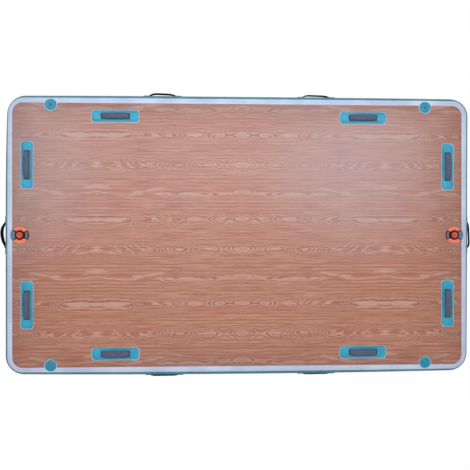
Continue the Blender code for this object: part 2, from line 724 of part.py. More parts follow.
DECK_RING_TOP = GAP + DECK_RING_THICKNESS
ANCHOR_LOW = DECK_RING_TOP + GAP
ANCHOR_HIGH = ANCHOR_LOW + TETHER_THICKNESS
FLANGE_LOW = ANCHOR_HIGH + GAP
FLANGE_HIGH = FLANGE_LOW + FLANGE_THICKNESS
SINK_FLOOR = FLANGE_HIGH - SINK_DEPTH
EYE_LOW = SINK_FLOOR + GAP
EYE_HIGH = EYE_LOW + TETHER_THICKNESS
HEAD_LOW = EYE_HIGH + GAP
HEAD_HIGH = HEAD_LOW + CAP_HEAD
SEAT_TOP = -BARREL_DEPTH + SEAT_THICKNESS
BUTTON_LOW = -STEM_TOP_DEPTH - BUTTON_THICKNESS
HUB_TOP = BUTTON_LOW - STEM_TRAVEL - SPRING_PACKED
PLUG_RADIUS = BORE_RADIUS - CAP_CLEARANCE


def valve_body():
    """The black insert: flange, barrel, and the seat with a spoked hub that guides the stem."""
    shell = turned("valve_body", [
        (SINK_RADIUS, FLANGE_HIGH), (FLANGE_RADIUS - FLANGE_EDGE, FLANGE_HIGH),
        (FLANGE_RADIUS, FLANGE_HIGH - FLANGE_EDGE), (FLANGE_RADIUS, FLANGE_LOW), (BARREL_RADIUS, FLANGE_LOW),
        (BARREL_RADIUS, -BARREL_DEPTH), (SEAT_RADIUS, -BARREL_DEPTH), (SEAT_RADIUS, SEAT_TOP),
        (BORE_RADIUS, SEAT_TOP), (BORE_RADIUS, SINK_FLOOR), (SINK_RADIUS, SINK_FLOOR)])
    guide = STEM_RADIUS + STEM_CLEARANCE
    hub = turned("hub", [(guide, HUB_TOP), (HUB_RADIUS, HUB_TOP), (HUB_RADIUS, -BARREL_DEPTH),
                         (guide, -BARREL_DEPTH)], STEM_SIDES)
    spokes = []
    inner, outer = (guide + HUB_RADIUS) / 2, (SEAT_RADIUS + BORE_RADIUS) / 2
    low, high = -BARREL_DEPTH + SPOKE_INSET, SEAT_TOP - SPOKE_INSET
    for i in range(SPOKES):
        spoke = box("spoke", (inner, -SPOKE_WIDTH / 2, low), (outer, SPOKE_WIDTH / 2, high))
        spokes.append(rotated(spoke, math.tau * i / SPOKES))
    body = combined(shell, 'UNION', *spokes, hub)
    half = TETHER_WIDTH / 2 + NOTCH_CLEARANCE
    notch = box("tether_notch", (BORE_RADIUS + CAP_CLEARANCE, -half, SINK_FLOOR + TETHER_SLACK),
                (FLANGE_RADIUS + OVERRUN, half, FLANGE_HIGH + OVERRUN))
    return combined(body, 'DIFFERENCE', notch)


def rotated(mesh, angle):
    """Turns a mesh round Z by an angle, and returns it."""
    bm = bmesh.new()
    bm.from_mesh(mesh)
    for vertex in bm.verts:
        x, y = vertex.co.x, vertex.co.y
        vertex.co.x = x * math.cos(angle) - y * math.sin(angle)
        vertex.co.y = x * math.sin(angle) + y * math.cos(angle)
    bm.to_mesh(mesh)
    bm.free()
    return mesh


def valve_nut():
    """The nut inside the hull that clamps the skin and the woven sheet to the barrel."""
    top = -SKIN_THICKNESS - GAP - SHEET_THICKNESS - GAP
    inner = BARREL_RADIUS + BARREL_CLEARANCE / 2
    nut = turned("valve_nut", [
        (inner, top), (NUT_RADIUS, top), (NUT_RADIUS, top - NUT_FLANGE),
        (NUT_SLEEVE_RADIUS, top - NUT_FLANGE), (NUT_SLEEVE_RADIUS, top - NUT_SLEEVE_DEPTH),
        (inner, top - NUT_SLEEVE_DEPTH)])
    notches = []
    for i in range(NUT_NOTCHES):
        root = (NUT_RADIUS + NUT_SLEEVE_RADIUS) / 2
        notch = box("notch", (root, -NUT_NOTCH / 2, top - NUT_FLANGE - OVERRUN),
                    (NUT_RADIUS + OVERRUN, NUT_NOTCH / 2, top + OVERRUN))
        notches.append(rotated(notch, math.tau * (i + 0.5) / NUT_NOTCHES))
    return combined(nut, 'DIFFERENCE', *notches)


def valve_stem():
    """The plunger: a ribbed button, its rod, and the poppet that closes the seat from below."""
    seal_low = -BARREL_DEPTH - GAP - SEAL_THICKNESS
    poppet_top = seal_low - GAP
    poppet_low = poppet_top - POPPET_THICKNESS
    stem = turned("valve_stem", [
        (0.0, -STEM_TOP_DEPTH), (BUTTON_RADIUS, -STEM_TOP_DEPTH), (BUTTON_RADIUS, BUTTON_LOW),
        (STEM_RADIUS, BUTTON_LOW), (STEM_RADIUS, poppet_top), (POPPET_RADIUS, poppet_top),
        (POPPET_RADIUS, poppet_low), (0.0, poppet_low)], INNER_STEPS)
    half = BUTTON_RIB / 2
    reach = BUTTON_RADIUS - BUTTON_RIB
    rib = box("button_rib", (-reach, -half, -STEM_TOP_DEPTH - half), (reach, half, -STEM_TOP_DEPTH + half))
    return combined(stem, 'UNION', rib)


def valve_seal():
    """The flat rubber ring on the poppet."""
    high = -BARREL_DEPTH - GAP
    low = high - SEAL_THICKNESS
    inner = POPPET_RADIUS - SEAL_WIDTH
    profile = [(inner, high), (POPPET_RADIUS, high), (POPPET_RADIUS, low), (inner, low)]
    return turned("valve_seal", profile, INNER_STEPS)


def valve_spring():
    """A compression spring between the hub and the button, wound as one wire with flat ends."""
    low = HUB_TOP + GAP + SPRING_WIRE
    high = BUTTON_LOW - GAP - SPRING_WIRE
    count = (SPRING_TURNS + 2) * SPRING_POINTS
    lead = 2 * SPRING_WIRE * SPRING_END_SHARE
    rise = high - low - 2 * lead
    points = []
    for i in range(count + 1):
        turn = i / SPRING_POINTS
        climb = min(max((turn - 1) / SPRING_TURNS, 0.0), 1.0)
        end_climb = min(turn, 1.0) + max(turn - 1 - SPRING_TURNS, 0.0)
        height = low + lead * end_climb + rise * climb
        angle = math.tau * turn
        points.append((SPRING_RADIUS * math.cos(angle), SPRING_RADIUS * math.sin(angle), height))
    return tube("valve_spring", points, SPRING_WIRE, SPRING_SIDES, closed=False)


def valve_cap():
    """The cap: a dished head with a bar to turn it by, over a hollow plug."""
    dish = HEAD_HIGH - CAP_DISH
    plug_low = -CAP_PLUG_DEPTH
    rim = CAP_RADIUS - CAP_RIM
    cap = turned("valve_cap", [
        (0.0, dish), (rim, dish), (rim + CAP_SLOPE, HEAD_HIGH), (CAP_RADIUS - CAP_EDGE, HEAD_HIGH),
        (CAP_RADIUS, HEAD_HIGH - CAP_EDGE), (CAP_RADIUS, HEAD_LOW), (PLUG_RADIUS, HEAD_LOW),
        (PLUG_RADIUS, plug_low), (PLUG_RADIUS - CAP_PLUG_WALL, plug_low),
        (PLUG_RADIUS - CAP_PLUG_WALL, HEAD_LOW), (0.0, HEAD_LOW)])
    reach = rim + CAP_SLOPE / 2
    bar = box("cap_bar", (-reach, -CAP_BAR / 2, (HEAD_LOW + dish) / 2),
              (reach, CAP_BAR / 2, HEAD_HIGH - CAP_BAR_DROP))
    return combined(cap, 'UNION', bar)


def valve_tether():
    """The cap's tether: an anchor ring under the flange, a doubled strap, and the eye the cap turns in."""
    anchor_inner = BARREL_RADIUS + BARREL_CLEARANCE
    anchor = turned("valve_tether", [(anchor_inner, ANCHOR_HIGH), (FLANGE_RADIUS - FLANGE_EDGE, ANCHOR_HIGH),
                                     (FLANGE_RADIUS - FLANGE_EDGE, ANCHOR_LOW), (anchor_inner, ANCHOR_LOW)])
    eye_inner = PLUG_RADIUS + TETHER_EYE
    eye_outer = eye_inner + TETHER_NECK
    eye = turned("eye", [
        (eye_inner, EYE_HIGH), (eye_outer, EYE_HIGH), (eye_outer, EYE_LOW), (eye_inner, EYE_LOW)])
    upper, lower = (EYE_LOW + EYE_HIGH) / 2, (ANCHOR_LOW + ANCHOR_HIGH) / 2
    half = TETHER_THICKNESS / 2 - TETHER_SLACK
    middle, radius = (upper + lower) / 2, (upper - lower) / 2
    bend_x = TETHER_REACH - radius - half
    outer = [(eye_inner + TETHER_NECK / 2, upper + half)]
    inner = [(eye_inner + TETHER_NECK / 2, upper - half)]
    for i in range(TETHER_BEND_STEPS + 1):
        angle = math.pi / 2 - math.pi * i / TETHER_BEND_STEPS
        outer.append((bend_x + (radius + half) * math.cos(angle), middle + (radius + half) * math.sin(angle)))
        inner.append((bend_x + (radius - half) * math.cos(angle), middle + (radius - half) * math.sin(angle)))
    end = FLANGE_RADIUS - FLANGE_EDGE - TETHER_NECK
    outer.append((end, lower - half))
    inner.append((end, lower + half))
    section = outer + list(reversed(inner))
    rings = [[(x, side * TETHER_WIDTH / 2, z) for x, z in section] for side in (-1, 1)]
    return combined(anchor, 'UNION', loft("tether_strap", rings), eye)


def deck_ring():
    """The two-colour ring that the flange clamps on the deck."""
    inner = BARREL_RADIUS + BARREL_CLEARANCE
    outer, top = DECK_RING_RADIUS, DECK_RING_TOP
    profile = [(inner, top), (outer, top), (outer, GAP), (inner, GAP)]
    return turned("deck_ring", profile, DECK_RING_STEPS)


def make_valves():
    pieces = (("valve_deck_ring", deck_ring(), "orange_foam"), ("valve_body", valve_body(), "black_plastic"),
              ("valve_base_nut", valve_nut(), "grey_plastic"), ("valve_stem", valve_stem(), "grey_plastic"),
              ("valve_seal", valve_seal(), "black_rubber"), ("valve_spring", valve_spring(), "steel"),
              ("valve_cap", valve_cap(), "red_plastic"), ("valve_cap_tether", valve_tether(), "black_rubber"))
    for side, column, turn in ((-1, "left", 0.0), (1, "right", math.pi)):
        for name, mesh, finish in pieces:
            place(mesh, f"{name}_{column}", finish, (side * VALVE_X, 0.0, HULL_HEIGHT), (0.0, 0.0, turn))


def main():
    clear_scene()
    make_hull()
    make_core()
    make_pad()
    make_deck_handles()
    make_side_handles()
    make_tie_rings()
    make_valves()


main()
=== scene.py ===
"""Looks of the inflatable dock platform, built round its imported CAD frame.

Metres, +Z up, in the frame of the CAD. The hull, foam deck, patches, webbing, grips, rings, valves and
springs are fine meshes that stand for the CAD solids, and every surface has a procedural material.
"""

import math
from math import copysign, cos, pi, radians, sin, sqrt, tau

import bmesh
import bpy
from mathutils import Matrix, Vector


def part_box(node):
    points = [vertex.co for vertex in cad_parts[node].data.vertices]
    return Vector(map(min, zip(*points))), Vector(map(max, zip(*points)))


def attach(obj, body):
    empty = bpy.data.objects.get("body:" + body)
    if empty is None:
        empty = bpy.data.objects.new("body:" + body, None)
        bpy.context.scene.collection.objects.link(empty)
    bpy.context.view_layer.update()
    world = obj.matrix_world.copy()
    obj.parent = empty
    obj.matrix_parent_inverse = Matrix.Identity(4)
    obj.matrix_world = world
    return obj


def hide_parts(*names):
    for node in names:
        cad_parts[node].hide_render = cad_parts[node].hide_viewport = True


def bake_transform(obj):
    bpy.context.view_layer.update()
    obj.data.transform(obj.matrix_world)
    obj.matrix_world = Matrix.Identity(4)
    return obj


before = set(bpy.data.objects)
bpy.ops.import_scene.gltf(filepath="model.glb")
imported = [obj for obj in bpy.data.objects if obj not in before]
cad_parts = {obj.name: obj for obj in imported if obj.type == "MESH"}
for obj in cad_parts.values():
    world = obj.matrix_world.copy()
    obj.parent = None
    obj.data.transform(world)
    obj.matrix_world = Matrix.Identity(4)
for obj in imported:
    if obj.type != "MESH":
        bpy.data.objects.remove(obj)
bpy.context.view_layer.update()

# Places and sizes read from the frame
WALL_LOW, WALL_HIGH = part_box("side_wall")
HULL_LENGTH = WALL_HIGH.x - WALL_LOW.x
HULL_WIDTH = WALL_HIGH.y - WALL_LOW.y
HULL_HALF = Vector((HULL_LENGTH / 2, HULL_WIDTH / 2))
HULL_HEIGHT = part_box("top_skin")[1].z
PAD_LOW, PAD_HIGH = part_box("deck_pad")
RIM_DEPTH = (HULL_LENGTH - (PAD_HIGH.x - PAD_LOW.x)) / 2

# Rim: a superellipse, its skins and tapes each so thick, split at these insets from the outermost line
RIM_POWER = 2.3
CORNER_RADIUS = 0.125
CORNER_STEPS = 20
SIDE_STEPS = 24
SKIN = 0.0012
GAP = 0.0003
SEAM_INSET = 0.036
TAPE_INNER_INSET = 0.045
TAPE_OUTER_INSET = 0.026
TAPE = 0.001
TAPE_EDGE = 0.03   # share of its width that thins out
SKIN_STEPS, WALL_STEPS, TAPE_STEPS = 12, 40, 10
VALVE_HOLE = 0.024
HOLE_REACH = 0.01
# Air draws the hull's sides and corners in: how far each side's outermost line lies inside its straight place
# at its middle, and how much further along X and along Y at each corner, with the power by which that grows
# along the side
SIDE_INSETS = {"left": 0.0052, "right": 0.0034, "rear": 0.0022, "front": -0.0030}
CORNER_PULLS = {
    ("left", "rear"): ((0.0180, 3.0), (0.0054, 3.0)), ("right", "rear"): ((-0.0035, 3.0), (0.0042, 3.0)),
    ("left", "front"): ((0.0005, 3.0), (0.0120, 2.0)), ("right", "front"): ((0.0060, 1.0), (0.0128, 2.0))}
ROUND_CORNER = 6
# Puckers that the welded seam draws into the fabric round each corner, and how far from the seam they reach
PUCKER_DEPTH = 0.0011
PUCKERS = 7
PUCKER_REACH = 0.3

# Foam deck, and how far its outer edge is trimmed back along X and Y
PAD_EDGE = 0.0015
PAD_EDGE_STEPS = 4
PAD_CLEARANCE = 0.0015
PAD_TRIM = (0.0035, 0.002)

# Welded patches; their edge goes through these insets and shares of the thickness
PATCH = 0.0012
PATCH_CORNER = 0.018
PATCH_STEPS = 8
PATCH_SIDE_STEPS = 16
PATCH_EDGE = [(0.0, 0.0), (0.0, 0.6), (0.0003, 0.9), (0.0008, 1.0)]
LEAST_CORNER = 0.0015
SPINE_CORNER = 0.0002
# How far the deck patches' and ring patches' edges are trimmed back, so that the skin shows round them
PATCH_TRIM = 0.0028
RING_PATCH_TRIM = 0.0035
WELD_INSET = 0.0055
WELD_WIDTH = 0.0016
WELD_DEPTH = 0.0005

# Webbing and pockets
WEBBING_WIDTH = 0.038
WEBBING = 0.0025
POCKET_TOP = 0.0057
POCKET_WALL = 0.0009
POCKET_HALF = WEBBING_WIDTH / 2 + 0.0007
POCKET_FLANGE = 0.0095
POCKET_END_MARGIN = 0.0035
POCKET_EDGE = 0.0007
POCKET_SINK = 0.0004
POCKET_CORNER = 0.010
POCKET_CROWN = 0.05
# A pocket lies flat along its edge, then rises over its flange and its end, and swells behind its mouth
POCKET_FLAT = 0.0012
POCKET_FOOT = 0.0008
POCKET_SLOPE = 0.0030
POCKET_MOUTH = 0.01
MOUTH_LAP = 0.0015
POCKET_TAIL = 0.0022
POCKET_ROWS, POCKET_COLUMNS = 30, 22
# Its seams: behind the mouth, before the end, out from its raised part, and how much shorter across the end
SEAM_HEM, SEAM_END, SEAM_OUT, SEAM_SHORT = 0.003, 0.0022, 0.0062, 0.006
TAB_MIDDLE = 0.00315
TAB_END = 0.1425
DECK_SPAN, DECK_RISE, DECK_BOW = 0.192, 0.020, (4.0, 1.5)
SIDE_SPAN = 0.182
SIDE_TAB_END = 0.1187
# How far each side handle's webbing stands off at its middle, its lean there in degrees (top edge outwards),
# its bow, how much further its crown stands off towards one end, and how far the handle lies off its place
SIDE_HANGS = {
    "rear_left": (0.0134, 7, (5.0, 1.5), 0.25, 0.0), "rear_right": (0.0112, 4, (6.0, 1.4), 0.20, 0.0),
    "front_left": (0.0022, 14, (9.0, 1.3), -0.40, 0.010), "front_right": (0.0012, 11, (9.0, 1.3), -0.30, 0.0),
    "left": (0.0264, 17, (2.4, 1.4), -0.34, 0.0), "right": (0.0166, -5, (7.0, 1.4), -0.24, 0.0)}
# The side handles are pressed flatter than the deck's, to this share of their height, and their webbing is
# thinner
SIDE_PRESS = 0.65
SIDE_WEBBING = 0.0018

# Grips and stitches
GRIP_LENGTH = 0.179
GRIP_WIDTH = 0.0395
GRIP_END_WIDTH = 0.0345
GRIP_THICKNESS = 0.011
GRIP_END_THICKNESS = 0.0052
GRIP_END_LENGTH = 0.016
BINDING = 0.0036
BINDING_HALF = 0.0019
# The bound edge goes through these insets and shares of its half thickness
BINDING_EDGE = ((0.0, 0.0), (0.0006, 0.8), (0.0016, 1.0), (BINDING, 0.9))
CROWN_INSET = 0.0004
END_DROP = 0.0006   # of the stitches across the grip's end, from its middle to its edges
CROWN_POWERS = (3.2, 0.62)
GRIP_RUN = 0.002   # half the stretch that its slope is taken over
GRIP_STEPS, CROWN_STEPS, STRAP_STEPS, SEAM_STEPS, HEM_STEPS = 64, 10, 72, 60, 24
STITCH_LENGTH = 0.0026
STITCH_PITCH = 0.0038
STITCH_RADIUS = 0.00035
STITCH_SIDES = 6
# A stitch's sections: share along it, share of its radius, height in radii
STITCH = ((0.0, 0.35, -0.9), (0.2, 0.9, 0.1), (0.5, 1.0, 0.5), (0.8, 0.9, 0.1), (1.0, 0.35, -0.9))

# Tie rings; a ring patch goes through these shares of its radius and of its thickness
RING_PATCH_RADIUS = 0.041
RING_PATCH_LEVELS = ((1.0, 0.0), (1.0, 0.5), (0.993, 0.9), (0.982, 1.05), (0.968, 1.15), (0.95, 1.6),
                     (0.925, 1.85), (0.9, 1.6), (0.88, 1.12), (0.86, 1.0), (0.75, 1.0), (0.6, 1.0),
                     (0.45, 1.0), (0.3, 1.05), (0.15, 1.1), (0.02, 1.1))
TAPE_RAMP = 0.003   # over which the patch climbs onto the tape
RING_WIRE = 0.0025
RING_HALF_WIDTH = 0.015
RING_LEG = 0.010
RING_CORNER = 0.004
KEEPER_WIDTH = 0.019
KEEPER_WALL = 0.0015
KEEPER_INNER = 0.0029
KEEPER_FOOT = 0.010
KEEPER_TOE = 0.0008
KEEPER_EDGE = 0.0006
KEEPER_SINK = 0.0002

ROUND_STEPS = 72
SMOOTH_ANGLE = radians(38)
MERGE = 0.00001
UP = Vector((0.0, 0.0, 1.0))


def linear(red, green, blue):
    """A colour as it is seen on a screen, 0 to 255, as the light that it stands for."""
    values = []
    for value in (red, green, blue):
        share = value / 255
        values.append(share / 12.92 if share <= 0.04045 else ((share + 0.055) / 1.055) ** 2.4)
    return (*values, 1.0)


WOOD_MIDDLE = linear(177, 113, 90)
WOOD_LIGHT = linear(195, 139, 115)
WOOD_DUSK = linear(157, 93, 71)
WOOD_DARK = linear(146, 83, 64)
WOOD_PALE = linear(198, 153, 133)
WOOD_RED = linear(173, 99, 74)
WOOD_EDGE = linear(107, 68, 56)
# Painted sheen: a pale lavender haze of reflected light that grows towards the foam's rear edge, over these Y
# values, to this share of this colour
WOOD_SHEEN_TINT = linear(190, 168, 172)
SHEEN_REACH = (-0.1, 0.75)
SHEEN_SHARE = 0.11
# Spots of stronger painted sheen: middle, half length, half width, share
SHEEN_SPOTS = ((-1.42, 0.42, 0.72, 0.85, 0.30), (0.76, 0.44, 0.80, 0.75, 0.36))
# The foam is darker towards its edges: from this far in, and less far along Y than along X
EDGE_DARK_REACH = 0.30
EDGE_DARK_SHAPE = 1.6
EDGE_DARK_TINT = (0.72, 0.71, 0.70, 1.0)


# Material nodes

class Field:
    """What a material node puts out. Arithmetic with it adds Math nodes."""

    def __init__(self, made, output=0):
        self.tree = made.id_data
        self.socket = made.outputs[output]

    def __add__(self, other):
        return maths('ADD', self, other)

    def __sub__(self, other):
        return maths('SUBTRACT', self, other)

    def __rsub__(self, other):
        return maths('SUBTRACT', other, self)

    def __mul__(self, other):
        return maths('MULTIPLY', self, other)

    def __truediv__(self, other):
        return maths('DIVIDE', self, other)

    def __abs__(self):
        return maths('ABSOLUTE', self)


def feed(socket, value):
    """Sets a socket to a number or colour, or links a field to it."""
    if isinstance(value, Field):
        value.tree.links.new(value.socket, socket)
    else:
        socket.default_value = value


def node(tree, kind, inputs=(), **settings):
    """Adds a node with its settings, and its inputs by name or place."""
    made = tree.nodes.new("ShaderNode" + kind)
    for name, value in settings.items():
        setattr(made, name, value)
    for name, value in dict(inputs).items():
        feed(made.inputs[name], value)
    return made


def maths(operation, *values):
    """One Math node over fields and numbers."""
    tree = next(value.tree for value in values if isinstance(value, Field))
    return Field(node(tree, "Math", enumerate(values), operation=operation))


def smooth_step(value, low, high, to_low=0.0, to_high=1.0):
    """Eases a value between two limits; low may be the larger one."""
    inputs = {"Value": value, "From Min": low, "From Max": high, "To Min": to_low, "To Max": to_high}
    return Field(node(value.tree, "MapRange", inputs, interpolation_type='SMOOTHSTEP'))


def mix(factor, first, second, kind='MIX'):
    """A Mix node for colours, by its sockets' places."""
    inputs = {0: factor, 6: first, 7: second}
    return Field(node(factor.tree, "Mix", inputs, data_type='RGBA', blend_type=kind), 2)


def tinted(colour, tint, value, low, high, share=1.0):
    """A colour that turns to a tint, by such a share, as a value goes from low to high."""
    return mix(smooth_step(value, low, high, 0.0, share), colour, tint)


def ramp(factor, stops):
    """A Color Ramp through (place, colour) stops."""
    made = node(factor.tree, "ValToRGB", {"Fac": factor})
    elements = made.color_ramp.elements
    while len(elements) < len(stops):
        elements.new(1.0)
    for element, (place, colour) in zip(elements, stops):
        element.position = place
        element.color = colour
    return Field(made)


def joined(x, y, z=0.0):
    """A vector out of its parts."""
    return Field(node(x.tree, "CombineXYZ", {"X": x, "Y": y, "Z": z}))


def noise(vector, scale, detail=3.0, roughness=0.5):
    """Noise from about 0 to 1."""
    inputs = {"Vector": vector, "Scale": scale, "Detail": detail, "Roughness": roughness}
    return Field(node(vector.tree, "TexNoise", inputs), "Fac")


def waves(axis, length):
    """A sine along an axis, each wave so long."""
    return maths('SINE', axis * (tau / length))


def bump(shader, height, distance, strength=1.0):
    """Raises the surface by a height field, distance metres at its highest."""
    inputs = {"Height": height, "Distance": distance, "Strength": strength}
    feed(shader.inputs["Normal"], Field(node(height.tree, "Bump", inputs)))


SOCKETS = {"colour": "Base Color", "roughness": "Roughness", "metallic": "Metallic", "sheen": "Sheen Weight",
           "specular": "Specular IOR Level"}


def coat(shader, **values):
    """Feeds the shader's sockets, by the short names above."""
    for name, value in values.items():
        feed(shader.inputs[SOCKETS[name]], value)


def new_material(name, colour, roughness, metallic=0.0):
    """A Principled material, its shader, and the object's own coordinates: vector, X, Y and Z."""
    made = bpy.data.materials.new(name)
    made.use_nodes = True
    made.diffuse_color = colour
    shader = made.node_tree.nodes["Principled BSDF"]
    coat(shader, colour=colour, roughness=roughness, metallic=metallic)
    vector = Field(node(made.node_tree, "TexCoord"), "Object")
    parts = node(made.node_tree, "SeparateXYZ", {"Vector": vector})
    return made, shader, (vector, *[Field(parts, axis) for axis in "XYZ"])


# Materials, by colours as they are seen

def coated_fabric(name, colour, pale, dark, roughness=0.42):
    """Coated fabric: a fine woven scrim shows through the coating, which is slightly mottled and scuffed."""
    colour, pale, dark = linear(*colour), linear(*pale), linear(*dark)
    made, shader, (vector, *axes) = new_material(name, colour, roughness)
    clouds = noise(vector, 5.0, 4.0)
    scuffs = noise(vector, 160.0, 5.0, 0.7)
    tint = tinted(dark, pale, clouds, 0.35, 0.7)
    coat(shader, colour=tinted(tint, pale, scuffs, 0.6, 0.85, 0.35), specular=0.45,
         roughness=smooth_step(clouds, 0.3, 0.75, roughness - 0.06, roughness + 0.1))
    across, down, through = [waves(axis, 0.0016) for axis in axes]
    bump(shader, across + down + through + noise(vector, 9.0, 2.0) * 2.5, 0.00012, 0.55)
    return made


# Wood grain: one printed tile, mirrored along X and repeated across Y, in steps of 6.5 mm. Along the tile,
# places count from its mirror line, and across it from its first row of figure, towards the front.
GRAIN_STEP = 0.0065
GRAIN_MIRROR = -0.925
GRAIN_ROW = 0.651
GRAIN_HALF_TILE = 144.4
GRAIN_TOP, GRAIN_BOTTOM = -8.0, 76.0
# Rows of figure, how fast the growth rings follow one another away from their middle lines, and how blunt
# they turn
GRAIN_ROWS = (0.5, 30.5, 58.5)
RINGS_A_STEP = 0.30
RING_NOSE = 2.6
# Swellings that bend the growth rings: middle along and across, half length, half height, rings, share that
# is full
GRAIN_BENDS = (
    (0, 0.5, 49, 15, 5.2, 0.68), (0, 0.5, 108, 15, 6.6, 0.44), (122, 0, 15, 10, 2.6, 0.0),
    (144, 0, 18, 10, 2.4, 0.1), (0, 30.5, 62, 15, 5.4, 0.10), (82, 30.5, 30, 13, 6.0, 0.04),
    (112, 30, 14, 10, 2.0, 0.0), (144, 30, 18, 10, 2.6, 0.1), (0, 38, 26, 9, -1.6, 0.0),
    (92, 60, 38, 7, 2.0, 0.2), (144, 57, 16, 7, 1.6, 0.1))
# Pale figure in the same tile: middle, half length, half height, slope, strength
GRAIN_PALE = (
    (17, 1.2, 14, 2.8, 0, 1.0), (0, 0.9, 10, 1.9, 0, 1.0), (27, 0.1, 9, 1.5, -0.07, 1.0),
    (59, 0.9, 5, 1.5, 0.3, 0.7), (71, 0.9, 5, 1.5, 0.3, 0.7), (97, 0.4, 9, 1.9, -0.03, 0.9),
    (122, 0, 6, 2.0, 0, 0.6), (144, 0.2, 9, 1.9, 0, 0.7), (0, 28.3, 5, 1.5, 0, 0.9),
    (0, 30.2, 2.8, 2.6, 0, 0.9), (0, 32.5, 8, 1.0, 0, 0.9), (14, 33.7, 9, 0.9, 0.2, 0.8),
    (20.5, 30.4, 5, 1.5, 0.8, 0.8), (33, 31.2, 4.5, 1.3, 0.7, 0.75), (46, 30.8, 6, 1.2, 0.25, 0.7),
    (52, 29.6, 3.5, 1.6, 0, 0.7), (112, 30, 8, 1.9, 0, 0.7), (144, 30, 8, 2.2, 0, 0.7),
    (0, 52.6, 15, 1.7, 0, 1.0), (0, 50.4, 6, 1.4, 0, 0.7), (0, 57.0, 5, 0.8, 0, 0.9),
    (9, 58.4, 8, 0.8, 0.16, 0.85), (23, 60.2, 9, 0.9, 0.08, 0.8), (37, 59.5, 10, 1.5, -0.16, 0.85),
    (41, 57.2, 7, 1.2, 0, 1.0), (57, 55.2, 12, 1.5, -0.14, 0.9), (68, 59.6, 12, 1.5, 0, 0.8),
    (96, 60.6, 24, 1.5, 0, 0.65), (130, 58.5, 14, 1.4, 0, 0.5), (144, 57, 10, 2.0, 0, 0.6))
# Redder wood, the same way
GRAIN_RED = (
    (51, 0.6, 4.5, 2.4, 0.2, 0.9), (65, 0.9, 3.5, 2.0, 0.3, 0.7), (77, 0.9, 3.5, 2.0, 0.3, 0.6),
    (10, 30.2, 6.5, 2.9, 0, 0.9), (26, 30.6, 4.0, 2.5, 0.5, 0.7), (38, 31.0, 6, 2.0, 0.2, 0.9),
    (23, 56.0, 15, 2.2, 0, 1.0), (0, 55.2, 12, 1.0, 0, 0.8), (50, 59.8, 6, 1.4, 0, 0.7),
    (60, 57.4, 8, 1.2, 0, 0.5), (74, 53.4, 11, 1.0, 0, 0.8), (75, 57.3, 11, 1.4, 0, 0.9),
    (96, 56.0, 22, 2.0, 0, 0.7), (128, 54.6, 20, 1.8, 0, 0.7), (96, 50.5, 26, 1.2, 0, 0.5),
    (20, 71, 40, 1.2, 0, 0.4), (100, 70, 34, 1.4, 0, 0.4), (110, 12, 30, 1.0, 0, 0.35))


def lobe_distance(u, v, middle_u, middle_v, length, height, slope=0.0):
    """Distance from a swelling's middle, as a share of its reach; a slope leans it along u."""
    along = u - middle_u
    down = v - middle_v
    if slope:
        down = down - along * slope
    spot = joined(along / length, down / height)
    return Field(node(spot.tree, "VectorMath", {0: spot}, operation='LENGTH'), "Value")


def grain_noise(u, v, along, across, detail=2.0):
    """Noise in the tile's steps, so many of them long and wide."""
    return noise(joined(u / along, v / across), 1.0, detail)


